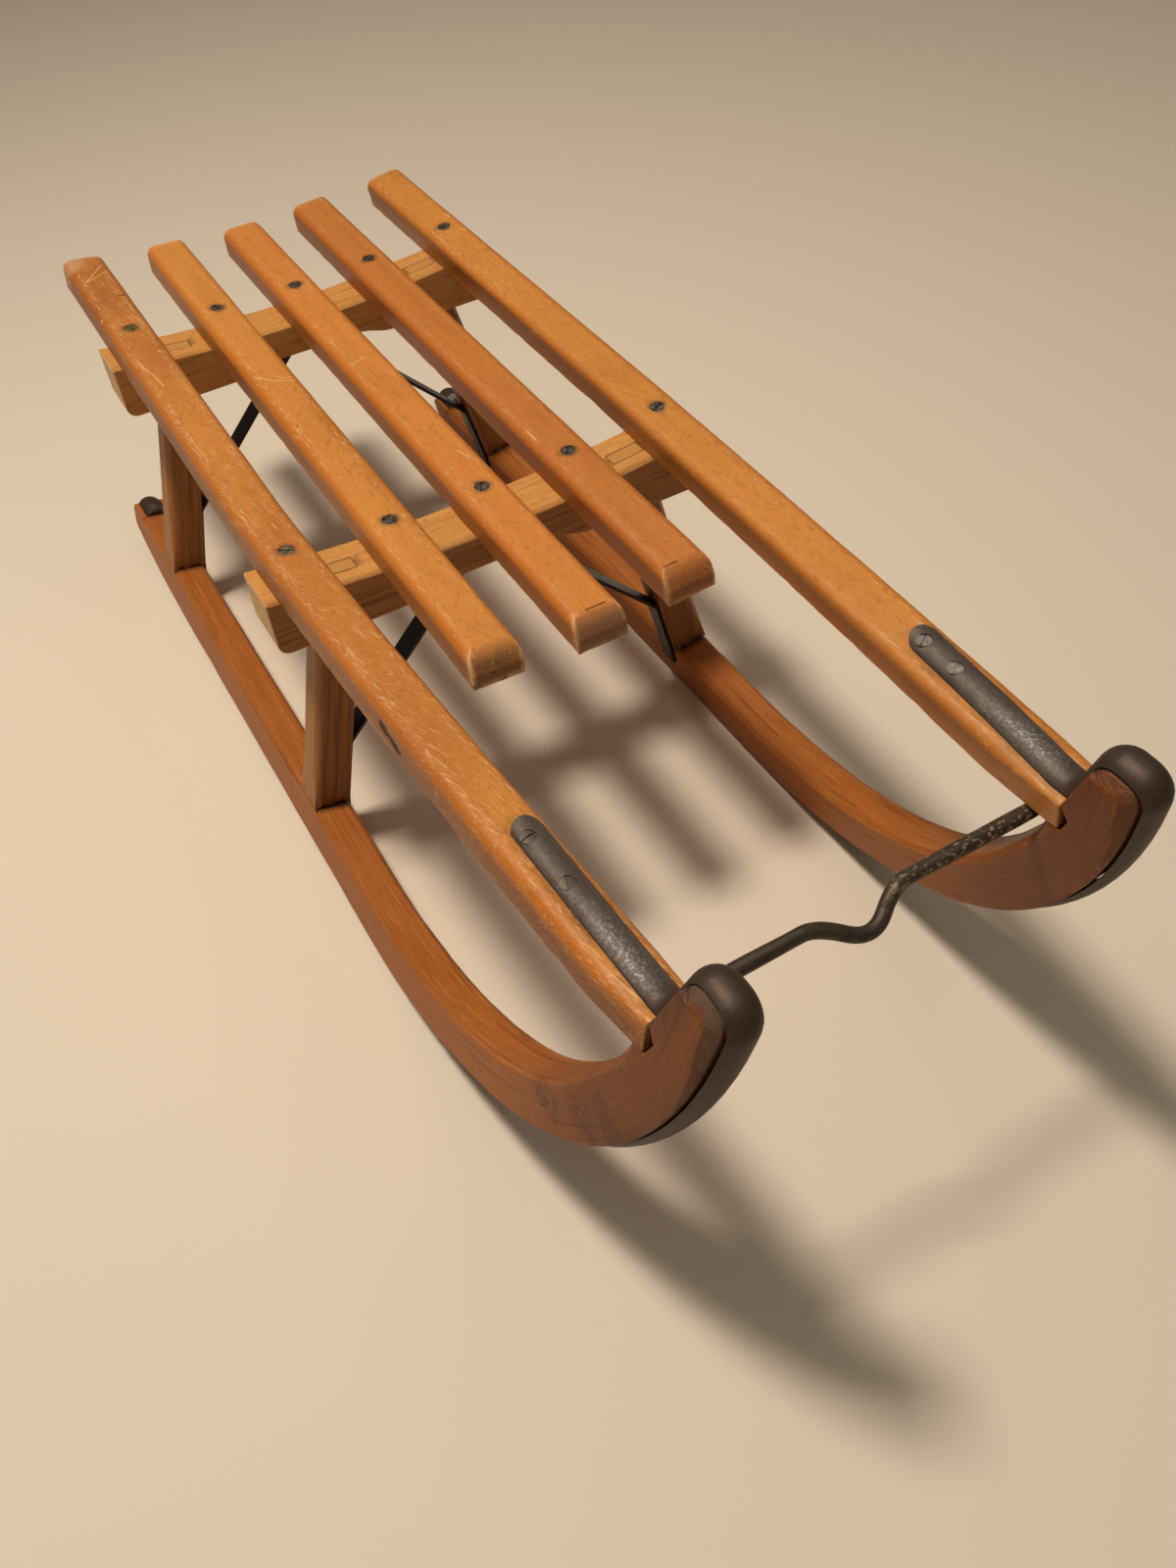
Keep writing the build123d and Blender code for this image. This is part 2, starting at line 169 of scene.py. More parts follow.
@dataclass(frozen=True)
class Figure:
    """One noise pattern of a surface.

    Args:
        along: Length of a mark along the grain.
        across: Width of a mark across the grain.
        window: Noise values between which the mark fades in.
        turn: Angle of the mark to the grain.
        detail: Octaves of finer noise.
        seed: Offset that sets one pattern apart from the others.
    """

    along: float
    across: float
    window: tuple[float, float]
    turn: float = 0.0
    detail: float = 2.0
    seed: float = 0.0

    def draw(self, tree: bpy.types.NodeTree, place: Socket) -> Socket:
        """Add the pattern's nodes.

        Args:
            tree: The material's node tree.
            place: Coordinates in metres, with X along the grain.

        Returns:
            A mask from zero to one.
        """
        mapping = {
            "Vector": place,
            "Location": (self.seed, self.seed * 0.37, self.seed * 0.73),
            "Rotation": (0.0, 0.0, math.radians(self.turn)),
            "Scale": (self.along * MM, self.across * MM, self.across * MM),
        }
        sized = add(tree, "ShaderNodeMapping", mapping, vector_type="TEXTURE")
        waves = {"Vector": sized, "Scale": 1.0, "Detail": self.detail}
        low, high = self.window
        limits = {
            "Value": add(tree, "ShaderNodeTexNoise", waves),
            "From Min": low,
            "From Max": high,
        }
        return add(tree, MAP_RANGE, limits, interpolation_type="SMOOTHSTEP")


@dataclass(frozen=True)
class Coat:
    """One colour laid over what is under it, where its figures meet.

    Args:
        colour: sRGB hex colour.
        share: How much of it covers where the figures are full.
        figures: Patterns that are multiplied together.
        marks: Names of the mesh attributes that limit it.
        rough: Change of the roughness under it.
        height: Change of the surface height under it.
        spots: X, Y, Z and radius of the round places that limit it.
        strokes: Start, end and radius of the straight strokes that limit it too.
    """

    colour: str
    share: float
    figures: tuple[Figure, ...] = ()
    marks: tuple[str, ...] = ()
    rough: float = 0.0
    height: float = 0.0
    spots: tuple[tuple[float, float, float, float], ...] = ()
    strokes: tuple[Stroke, ...] = ()

    def mask(self, tree: bpy.types.NodeTree, place: Socket) -> Given:
        """Add the nodes of the mask.

        Args:
            tree: The material's node tree.
            place: Coordinates along the grain.

        Returns:
            How far this coat covers, from zero to its share.
        """
        sources = [figure.draw(tree, place) for figure in self.figures]
        for mark in self.marks:
            sources.append(add(tree, "ShaderNodeAttribute", {}, "Fac", attribute_name=mark))
        if self.spots or self.strokes:
            sources.append(self.rounds(tree))
        total: Given = self.share
        for source in sources:
            total = add(tree, MATH, {0: source, 1: total}, operation="MULTIPLY", use_clamp=True)
        return total

    def rounds(self, tree: bpy.types.NodeTree) -> Socket:
        """Add the nodes of the spots and strokes, which fade out from half their radius.

        Args:
            tree: The material's node tree.

        Returns:
            A mask that is one inside them.
        """
        here = add(tree, "ShaderNodeTexCoord", {}, "Object")
        nearest: Given = 0.0
        spots = [(spot[:3], spot[:3], spot[3]) for spot in self.spots]
        for start, end, radius in (*spots, *self.strokes):
            way = (Vector(end) - Vector(start)) * MM
            off = add(tree, VECTOR_MATH, {0: here, 1: Vector(start) * MM}, operation="SUBTRACT")
            if way.length:
                unit = way.normalized()
                run = add(tree, VECTOR_MATH, {0: off, 1: unit}, "Value", operation="DOT_PRODUCT")
                held = add(tree, "ShaderNodeClamp", {"Value": run, "Min": 0.0, "Max": way.length})
                foot = add(tree, VECTOR_MATH, {0: unit, "Scale": held}, operation="SCALE")
                off = add(tree, VECTOR_MATH, {0: off, 1: foot}, operation="SUBTRACT")
            limits = {
                "Value": add(tree, VECTOR_MATH, {0: off}, "Value", operation="LENGTH"),
                "From Min": radius * MM / 2,
                "From Max": radius * MM,
                "To Min": 1.0,
                "To Max": 0.0,
            }
            inside = add(tree, MAP_RANGE, limits, interpolation_type="SMOOTHSTEP")
            nearest = add(tree, MATH, {0: inside, 1: nearest}, operation="MAXIMUM")
        return nearest


@dataclass(frozen=True)
class Finish:
    """A real material and how its surface was made.

    Args:
        name: Name of the material.
        base: sRGB hex colour under all the coats.
        coats: What lies over it, from the lowest to the top.
        roughness: Roughness where no coat changes it.
        metallic: One for bare metal and zero for anything else.
        ior: Index of refraction.
        varnish: Weight of a clear coat.
        varnish_rough: Roughness of the clear coat.
    """

    name: str
    base: str
    coats: tuple[Coat, ...]
    roughness: float
    metallic: float = 0.0
    ior: float = 1.5
    varnish: float = 0.0
    varnish_rough: float = 0.2

    def material(
        self, shift: float = 0.0, extra: Iterable[Coat] = (), name: str = ""
    ) -> bpy.types.Material:
        """Make the Blender material.

        Args:
            shift: Metres by which this piece's pattern is moved along the log.
            extra: Coats that only this piece has, over the others.
            name: Name of the material where it isn't the finish's own.

        Returns:
            The material.
        """
        made = bpy.data.materials.new(name or self.name)
        made.use_nodes = True
        tree = made.node_tree
        raw = add(tree, "ShaderNodeAttribute", {}, "Vector", attribute_name="grain")
        moved = (shift, shift * 0.21, 0.0)
        place = add(tree, VECTOR_MATH, {0: raw, 1: moved}, operation="ADD")
        colour: Given = linear(self.base)
        rough: Given = self.roughness
        height: Given = 0.0
        for coat in (*self.coats, *extra):
            mask = coat.mask(tree, place)
            mixed = {0: mask, 6: colour, 7: linear(coat.colour)}
            colour = add(tree, "ShaderNodeMix", mixed, 2, data_type="RGBA")
            if coat.rough:
                change = {0: mask, 1: coat.rough, 2: rough}
                rough = add(tree, MATH, change, operation="MULTIPLY_ADD", use_clamp=True)
            if coat.height:
                change = {0: mask, 1: coat.height * MM, 2: height}
                height = add(tree, MATH, change, operation="MULTIPLY_ADD")
        looks = {
            "Base Color": colour,
            "Roughness": rough,
            "Metallic": self.metallic,
            "IOR": self.ior,
            "Coat Weight": self.varnish,
            "Coat Roughness": self.varnish_rough,
        }
        if isinstance(height, Socket):
            raised = {"Height": height, "Strength": 1.0, "Distance": 1.0}
            looks["Normal"] = add(tree, "ShaderNodeBump", raised)
        for key, value in looks.items():
            feed(tree, tree.nodes["Principled BSDF"].inputs[key], value)
        return made


# Beech is pink-brown with dark flecks a few millimetres long. Here they are
# drawn a little wider than life, because a real one is finer than a pixel.
FLECKS = Coat("#8A4515", 0.42, (Figure(6, 1.0, (0.56, 0.72), detail=1, seed=1.3),), height=-0.01)
FIBRES = Coat("#DB964C", 0.26, (Figure(60, 1.5, (0.45, 0.75), seed=2.7),))
STREAKS = Coat("#A4581B", 0.32, (Figure(300, 8, (0.48, 0.75), seed=4.1),))
CLOUDS = Coat("#95491A", 0.36, (Figure(110, 38, (0.48, 0.8), detail=3, seed=7.9),))
END_GRAIN = Coat("#855834", 0.85, marks=("ends",), rough=0.2)
END_RAYS = Coat(
    "#40240F",
    0.7,
    (Figure(5, 1.1, (0.48, 0.66), turn=-30, seed=3.3),),
    marks=("ends",),
    height=-0.05,
)
JOINT_DIRT = Coat("#23140B", 0.9, marks=("gap",), rough=0.25)
# Dirt round the irons on the slats and runners; on the posts the same coat is painted shade at the
# foot.
GRIME_AND_SHADE = Coat(
    "#54300F", 0.55, (Figure(25, 12, (0.3, 0.62), detail=3, seed=9.1),), marks=("grime",)
)

# Old oil varnish has gone orange. It shines softly, and nicks, scratches and
# rubbed arrises show the pale wood. A scratch is drawn half a millimetre
# wide, because a real one is too fine to show.
NICK = "#E6B77C"


def scratches(rows: Iterable[tuple[float, float, float, float, float]]) -> tuple[Coat, ...]:
    """Make coats of straight scratches, which come in patches.

    Args:
        rows: Length, angle to the grain, share, rarity and seed of each coat.

    Returns:
        One coat for each row.
    """
    return tuple(
        Coat(
            NICK,
            share,
            (
                Figure(long, 0.8, (rare, rare + 0.05), turn=turn, detail=0, seed=seed),
                Figure(70, 24, (0.48, 0.58), seed=seed + 0.5),
            ),
            rough=0.15,
            height=-0.02,
        )
        for long, turn, share, rare, seed in rows
    )


SLAT_BEECH = Finish(
    name="varnished_beech_slats",
    base="#CA8339",
    coats=(
        CLOUDS,
        STREAKS,
        FIBRES,
        FLECKS,
        Coat("#7A4620", 0.3, (Figure(7, 5, (0.55, 0.72), detail=3, seed=10.3),)),
        # Painted shade: a deeper orange over the slats' rounded sides.
        Coat("#BC6414", 0.6, marks=("side",)),
        # Painted shade: dark brown low on the slats' sides.
        Coat("#6E3A12", 0.8, marks=("low",)),
        END_GRAIN,
        END_RAYS,
        GRIME_AND_SHADE,
        *scratches(
            (
                (30, 9, 0.5, 0.74, 11.0),
                (16, 58, 0.5, 0.74, 13.0),
                (18, -40, 0.45, 0.75, 14.0),
            )
        ),
        Coat(
            NICK,
            0.7,
            (
                Figure(11, 1.0, (0.6, 0.67), turn=4, detail=1, seed=16),
                Figure(80, 60, (0.42, 0.56), seed=18),
            ),
            marks=("brink",),
            rough=0.15,
            height=-0.03,
        ),
        Coat("#D79C58", 0.45, (Figure(4, 1.6, (0.5, 0.64), seed=17),), marks=("worn",)),
        Coat("#DDB07A", 0.75, (Figure(24, 9, (0.3, 0.5), seed=20),), marks=("worn", "tips")),
    ),
    roughness=0.5,
    ior=1.42,
    varnish=0.12,
    varnish_rough=0.3,
)

RUNNER_BEECH = Finish(
    name="varnished_beech_runners",
    base="#A5602A",
    coats=(
        CLOUDS,
        STREAKS,
        Coat("#6B3210", 0.5, (Figure(160, 2.6, (0.54, 0.7), seed=5.2),)),
        FIBRES,
        FLECKS,
        END_GRAIN,
        END_RAYS,
        # Painted shade: the curled nose is darker than the rest of the runner.
        Coat("#5F2C0D", 0.62, marks=("nose",)),
        GRIME_AND_SHADE,
        Coat("#6B4432", 0.6, marks=("crown",), rough=0.1),
        Coat(
            "#94684F", 0.5, (Figure(1.3, 7, (0.46, 0.62), seed=6.6),), marks=("crown",), rough=0.1
        ),
        Coat("#B67C42", 0.22, (Figure(9, 2, (0.52, 0.66), seed=19),), marks=("worn",)),
        JOINT_DIRT,
    ),
    roughness=0.5,
    ior=1.28,
    varnish=0.03,
    varnish_rough=0.32,
)
# Hands on the rope and wet irons have turned the right nose grey-brown.
DARK_NOSE = (
    Coat("#31231A", 0.75, (Figure(40, 20, (0.25, 0.6), detail=3, seed=9.7),), marks=("grime",)),
    Coat(
        "#6B5A4B",
        0.6,
        (Figure(9, 7, (0.3, 0.6), detail=3, seed=9.9),),
        marks=("crown",),
        rough=0.1,
    ),
)

POST_BEECH = Finish(
    name="varnished_beech_posts",
    base="#8F5A26",
    coats=(
        Coat("#6E3C16", 0.4, (Figure(110, 26, (0.46, 0.78), detail=3, seed=8.8),)),
        Coat("#B07A3C", 0.5, (Figure(140, 5, (0.48, 0.7), seed=5.3),)),
        Coat("#4F2A12", 0.6, (Figure(160, 2.5, (0.55, 0.68), seed=5.9),)),
        FLECKS,
        # Painted light: the posts' outer faces are paler.
        Coat("#BF8650", 0.45, marks=("outside",)),
        Coat("#BC8746", 0.9, marks=("ends",), rough=0.2),
        # Painted shade at the post's foot, over its runner.
        GRIME_AND_SHADE,
        JOINT_DIRT,
    ),
    roughness=0.52,
    ior=1.35,
    varnish=0.05,
    varnish_rough=0.35,
)

# The bars were only oiled, so they are paler and duller than the slats.
BAR_BEECH = Finish(
    name="oiled_beech_bars",
    base="#C58A45",
    coats=(
        Coat("#A76A2E", 0.4, (Figure(110, 30, (0.48, 0.8), detail=3, seed=8.3),)),
        STREAKS,
        Coat("#E0AE6C", 0.35, (Figure(40, 1.6, (0.45, 0.72), seed=2.2),)),
        FLECKS,
        # Painted shade: the bars' front faces are darker, with dark streaks.
        Coat("#7A4A20", 0.6, marks=("front",)),
        Coat("#4A2610", 0.5, (Figure(70, 2.4, (0.5, 0.66), detail=3, seed=3.1),), marks=("front",)),
        Coat("#E0BB8A", 0.95, marks=("ends",), rough=0.2),
        Coat("#B98B59", 0.5, (Figure(60, 7, (0.42, 0.68), detail=4, seed=3.5),), marks=("ends",)),
        Coat("#8A5F36", 0.4, (Figure(3, 0.9, (0.5, 0.72), seed=3.9),), marks=("ends",)),
        JOINT_DIRT,
    ),
    roughness=0.6,
    ior=1.38,
)

# Forged iron keeps a brown-black skin, and is rubbed grey where it is handled; the pale grey along
# the straps' middle is partly a painted highlight.
SHOE_IRON = Finish(
    name="forged_iron_shoes",
    base="#4A3B31",
    coats=(
        Coat("#685D55", 0.85, marks=("strap",)),
        Coat("#463429", 0.45, (Figure(60, 34, (0.42, 0.72), detail=3, seed=21),), rough=0.06),
        Coat("#6A4632", 0.25, (Figure(9, 8, (0.58, 0.75), detail=4, seed=23),), rough=0.1),
        Coat("#3A2E27", 0.3, (Figure(2.6, 2, (0.54, 0.68), detail=2, seed=27),), height=-0.02),
        # Partly rubbed metal and partly a painted highlight: pale bluish specks along the straps'
        # middle.
        Coat(
            "#B2B8BD",
            0.4,
            (
                Figure(2.8, 1.7, (0.47, 0.66), detail=3, seed=25),
                Figure(60, 30, (0.3, 0.5), seed=26),
            ),
            marks=("rub", "strap"),
            rough=-0.06,
        ),
        JOINT_DIRT,
    ),
    roughness=0.55,
    metallic=0.5,
)

BRACE_IRON = Finish(
    name="blackened_iron_braces",
    base="#1B1613",
    coats=(
        Coat("#38291F", 0.5, (Figure(14, 7, (0.52, 0.7), detail=4, seed=31),), rough=0.15),
        JOINT_DIRT,
    ),
    roughness=0.42,
    metallic=0.35,
)

ROD_IRON = Finish(
    name="forged_iron_rod",
    base="#4C4035",
    coats=(
        Coat("#332A23", 0.7, (Figure(14, 6, (0.45, 0.65), detail=4, seed=33),), rough=0.1),
        Coat(
            "#A8926A",
            0.7,
            (Figure(3.5, 2.5, (0.56, 0.62), detail=3, seed=35),),
            marks=("rub",),
            rough=0.2,
        ),
    ),
    roughness=0.5,
    metallic=0.5,
)

# The screw heads are dull steel, and wet wood has blackened them.
SCREW_STEEL = Finish(
    name="dulled_steel_screws",
    base="#7A7065",
    coats=(Coat("#332B26", 0.8, (Figure(3, 3, (0.36, 0.56), detail=3, seed=41),), rough=0.15),),
    roughness=0.45,
    metallic=0.6,
)
BRASSY = Coat("#94845A", 0.7, (Figure(4, 4, (0.3, 0.6), seed=42),))
BRIGHT = Coat("#B4ADA4", 0.85, (Figure(3, 3, (0.25, 0.5), seed=43),), rough=-0.1)
DULL = Coat("#665B52", 0.9, (Figure(4, 4, (0.2, 0.4), seed=45),))


def show(name: str, data: bpy.types.ID) -> bpy.types.Object:
    """Put new data into the scene.

    Args:
        name: Name of the object.
        data: Its mesh, lamp or camera.

    Returns:
        The object.
    """
    shown = bpy.data.objects.new(name, data)
    bpy.context.scene.collection.objects.link(shown)
    return shown


def standing(place: Vector, up: Vector) -> Matrix:
    """Give the transform that takes the origin to a place, and Z to a direction there."""
    return Matrix.Translation(place) @ UP.rotation_difference(up).to_matrix().to_4x4()


def rise(values: np.ndarray, start: float, length: float) -> np.ndarray:
    """Fade a mark in along a measure.

    Args:
        values: The measure of each point, in metres.
        start: The measure up to which there is nothing.
        length: How far beyond it the mark is full.

    Returns:
        Zero to one for each point.
    """
    return np.clip((values / MM - start) / length, 0, 1)


class Grain:
    """Turns points of a timber into its own coordinates, X along the fibres."""

    def at(self, points: np.ndarray) -> np.ndarray:
        """Give the points in the timber's coordinates.

        Args:
            points: Rows of X, Y and Z in metres.

        Returns:
            Rows of the way along, across and through the timber, in metres.
        """
        raise NotImplementedError

    def along(self, points: np.ndarray) -> np.ndarray:
        """Give the direction of the fibres at the points, as unit rows."""
        return np.tile((1.0, 0.0, 0.0), (len(points), 1))


@dataclass(frozen=True)
class StraightGrain(Grain):
    """A timber with straight fibres.

    Args:
        axis: Direction of the fibres.
        up: Direction through the timber.
    """

    axis: Vector
    up: Vector

    def at(self, points: np.ndarray) -> np.ndarray:
        """Give the points in the timber's coordinates, as Grain.at says."""
        across = self.up.cross(self.axis).normalized()
        frame = np.array([self.axis.normalized(), across, self.axis.cross(across).normalized()])
        return points @ frame.T

    def along(self, points: np.ndarray) -> np.ndarray:
        """Give the direction of the fibres at the points, as unit rows."""
        return np.tile(np.array(self.axis.normalized()), (len(points), 1))


@dataclass(frozen=True)
class LeaningPlane:
    """The upright plane of a runner, leaned over its foot.

    Args:
        foot_y: Distance of the foot's middle from the sled's middle line.
        foot_z: Height of the foot's middle.
        lean: Angle of the lean.
    """

    foot_y: float = 178.5
    foot_z: float = 5.12
    lean: float = 10.3

    def flatten(self, points: np.ndarray) -> np.ndarray:
        """Lay the plane of either side flat.

        Args:
            points: Rows of X, Y and Z in metres.

        Returns:
            Rows of X, distance out of the plane and height along it, in metres.
        """
        angle = math.radians(self.lean)
        out = np.abs(points[:, 1]) - self.foot_y * MM
        up = points[:, 2] - self.foot_z * MM
        away = out * math.cos(angle) + up * math.sin(angle)
        tall = -out * math.sin(angle) + up * math.cos(angle)
        return np.column_stack((points[:, 0], away, tall))

    def point(self, x: float, out: float, up: float, side: Side) -> Vector:
        """Find a place by its measures in the plane.

        Args:
            x: Distance along the sled.
            out: Distance out of the plane.
            up: Height along the plane.
            side: Whose plane it is.

        Returns:
            The place in metres.
        """
        angle = math.radians(self.lean)
        y = self.foot_y + out * math.cos(angle) - up * math.sin(angle)
        z = self.foot_z + out * math.sin(angle) + up * math.cos(angle)
        return Vector((x, side.value * y, z)) * MM


@dataclass(frozen=True)
class BentGrain(Grain):
    """A steamed and bent runner: its fibres follow the sole and the sweep.

    Args:
        plane: The runner's plane.
        tail: X of the rear end.
        sweep_start: X where the sole starts to rise.
        arcs: Radius and turn of each arc of the sweep.
        step: Turn of one chord.
        beyond: Length of the straight line after the last arc.
    """

    plane: LeaningPlane = LeaningPlane()
    tail: float = -480.0
    sweep_start: float = 115.19
    arcs: tuple[tuple[float, float], ...] = ((398.0, 23.5), (409.0, 15.9), (350.0, 44.6))
    step: float = 1.5
    beyond: float = 200.0

    def line(self) -> np.ndarray:
        """Follow the sole and the sweep in chords.

        Returns:
            Rows of X and height in the plane, in metres.
        """
        rows = [(self.tail, 0.0), (self.sweep_start, 0.0)]
        heading = 0.0
        x, h = rows[-1]
        for radius, turn in self.arcs:
            count = max(2, round(turn / self.step))
            for _ in range(count):
                part = math.radians(turn / count)
                chord = 2 * radius * math.sin(part / 2)
                x += chord * math.cos(heading + part / 2)
                h += chord * math.sin(heading + part / 2)
                heading += part
                rows.append((x, h))
        rows.append((x + self.beyond * math.cos(heading), h + self.beyond * math.sin(heading)))
        return np.array(rows) * MM

    def nearest(self, points: np.ndarray) -> tuple[np.ndarray, ...]:
        """Find the nearest place on the sole for each point.

        Args:
            points: Rows of X, Y and Z in metres.

        Returns:
            The way along the sole, the depth above it, the distance out of
            the plane, and the sole's direction as rows of X and height.
        """
        flat = self.plane.flatten(points)
        line = self.line()
        run = np.diff(line, axis=0)
        long = np.linalg.norm(run, axis=1)
        start = np.concatenate(([0.0], np.cumsum(long)[:-1]))
        off = flat[:, None, [0, 2]] - line[None, :-1, :]
        share = np.clip((off * run[None]).sum(2) / long[None] ** 2, 0.0, 1.0)
        gap = np.linalg.norm(off - share[:, :, None] * run[None], axis=2)
        best = gap.argmin(axis=1)
        rows = np.arange(len(points))
        way = start[best] + share[rows, best] * long[best]
        return way, gap[rows, best], flat[:, 1], run[best] / long[best][:, None]

    def at(self, points: np.ndarray) -> np.ndarray:
        """Give the points in the timber's coordinates, as Grain.at says."""
        return np.column_stack(self.nearest(points)[:3])

    def along(self, points: np.ndarray) -> np.ndarray:
        """Give the direction of the fibres at the points, as unit rows."""
        ahead, up = self.nearest(points)[3].T
        angle = math.radians(self.plane.lean)
        side = np.sign(points[:, 1])
        return np.column_stack((ahead, -side * up * math.sin(angle), up * math.cos(angle)))


@dataclass(frozen=True)
class Wear:
    """How one kind of piece is rounded, cut into a net and worn.

    Args:
        arris: Width of the rounding along its arrises.
        net: Greatest spacing of the net along X, Y and Z.
        swell: Height of the unevenness of its faces.
        dent: Depth of the worn places on its arrises.
        sharp: Least angle that counts as an arris.
    """

    arris: float
    net: Place
    swell: float = 0.0
    dent: float = 0.0
    sharp: float = 32.0


@dataclass
class Piece:
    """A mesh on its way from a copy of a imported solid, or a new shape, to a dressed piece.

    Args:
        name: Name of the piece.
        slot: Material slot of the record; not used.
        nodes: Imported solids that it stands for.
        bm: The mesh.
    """

    name: str
    slot: str
    nodes: tuple[str, ...] = ()
    bm: bmesh.types.BMesh = field(default_factory=bmesh.new)

    @classmethod
    def copied(cls, frame: dict, node: str, slot: str) -> "Piece":
        """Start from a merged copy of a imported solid.

        Args:
            node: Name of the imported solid.
            slot: Material slot of the record.

        Returns:
            The piece, with flat places made into single faces.
        """
        piece = cls(name=f"{node}_dressed", slot=slot, nodes=(node,))
        piece.bm.from_mesh(frame["nodes"][node].data)
        for layer in list(piece.bm.loops.layers.uv):
            piece.bm.loops.layers.uv.remove(layer)
        piece.merge(0.003)
        bmesh.ops.dissolve_limit(
            piece.bm,
            angle_limit=math.radians(0.5),
            use_dissolve_boundaries=False,
            verts=piece.bm.verts,
            edges=piece.bm.edges,
        )
        return piece

    def merge(self, far: float) -> None:
        """Merge the vertices that lie closer together than a distance."""
        bmesh.ops.remove_doubles(self.bm, verts=self.bm.verts, dist=far * MM)

    def bevel(
        self, edges: list[bmesh.types.BMEdge], width: float, segments: int = 1
    ) -> list[bmesh.types.BMFace]:
        """Bevel some edges.

        Args:
            edges: The edges.
            width: Width of the bevel on each side.
            segments: Faces across the bevel.

        Returns:
            The new faces.
        """
        made = bmesh.ops.bevel(
            self.bm,
            geom=edges,
            offset=width * MM,
            offset_type="OFFSET",
            affect="EDGES",
            segments=segments,
            profile=0.5,
            material=-1,
            clamp_overlap=False,
            loop_slide=True,
        )
        return made["faces"]

    def soften(self, wear: Wear) -> None:
        """Round the sharp arrises over, and mark them for wear.

        Args:
            wear: How the piece is worn.
        """
        layer = self.bm.faces.layers.int.new("arris")
        sharp = math.radians(wear.sharp)
        edges = [
            edge
            for edge in self.bm.edges
            if len(edge.link_faces) == 2 and edge.calc_face_angle(0.0) > sharp
        ]
        for face in self.bevel(edges, wear.arris, segments=2):
            face[layer] = 1

    def carve(self, cutter: bmesh.types.BMesh) -> None:
        """Take a shape away from the piece.

        Args:
            cutter: The shape, which is used up.
        """
        shown = []
        for name, source in (("block", self.bm), ("cutter", cutter)):
            mesh = bpy.data.meshes.new(name)
            source.to_mesh(mesh)
            source.free()
            shown.append(show(name, mesh))
        cut = shown[0].modifiers.new("cut", "BOOLEAN")
        cut.operation = "DIFFERENCE"
        cut.solver = "EXACT"
        cut.object = shown[1]
        left = shown[0].evaluated_get(bpy.context.evaluated_depsgraph_get())
        self.bm = bmesh.new()
        self.bm.from_mesh(left.to_mesh())
        left.to_mesh_clear()
        for obj in shown:
            mesh = obj.data
            bpy.data.objects.remove(obj)
            bpy.data.meshes.remove(mesh)

    def surface(self, start: Vector, way: Vector = -UP) -> Vector:
        """Find where a ray meets the piece.

        Args:
            start: Start of the ray in metres.
            way: Its direction.

        Returns:
            The first place on the piece.
        """
        found = BVHTree.FromBMesh(self.bm).ray_cast(start, way)[0]
        if found is None:
            raise ValueError(f"{self.name} isn't on the ray from {start[:]}")
        return found

    def net(self, steps: Place) -> None:
        """Cut the faces into a net that can carry wear and grain.

        Args:
            steps: Greatest spacing along X, Y and Z.
        """
        spots = np.array([v.co[:] for v in self.bm.verts])
        low, high = spots.min(axis=0), spots.max(axis=0)
        for axis, step in enumerate(steps):
            count = math.ceil((high[axis] - low[axis]) / (step * MM))
            normal = Vector([float(i == axis) for i in range(3)])
            for k in range(1, count):
                level = low[axis] + (high[axis] - low[axis]) * k / count
                self.cut(normal * level, normal)

    def cut(self, point: Vector, normal: Vector) -> None:
        """Cut the faces along one plane without taking anything away.

        Args:
            point: A place on the plane.
            normal: Direction square to it.
        """
        bmesh.ops.bisect_plane(
            self.bm,
            geom=[*self.bm.verts, *self.bm.edges, *self.bm.faces],
            dist=0.01 * MM,
            plane_co=point,
            plane_no=normal,
        )

    def weather(self, swell: float, dent: float, seed: float) -> None:
        """Make the faces a little uneven and wear the arrises back in places.

        Args:
            swell: Height of the unevenness.
            dent: Depth of the worn places on the arrises.
            seed: Place in the noise.
        """
        self.bm.normal_update()
        shift = Vector((seed, seed * 1.7, seed * 0.3))
        for vert, edge in zip(self.bm.verts, self.arrises()):
            move = noise.noise(vert.co * FACE_WAVES + shift) * swell
            if edge:
                worn = noise.noise(vert.co * ARRIS_WAVES - shift) - ARRIS_THRESHOLD
                move -= max(0.0, worn) * dent
            vert.co += vert.normal * (move * MM)

    def age(self, wear: Wear, seed: float) -> None:
        """Cut the net of a kind of wear and then weather it."""
        self.net(wear.net)
        self.weather(wear.swell, wear.dent, seed)

    def arrises(self) -> list[float]:
        """Give one for each vertex on a softened arris and zero for the others."""
        layer = self.bm.faces.layers.int.get("arris")
        if layer is None:
            return [0.0] * len(self.bm.verts)
        return [float(any(face[layer] for face in vert.link_faces)) for vert in self.bm.verts]

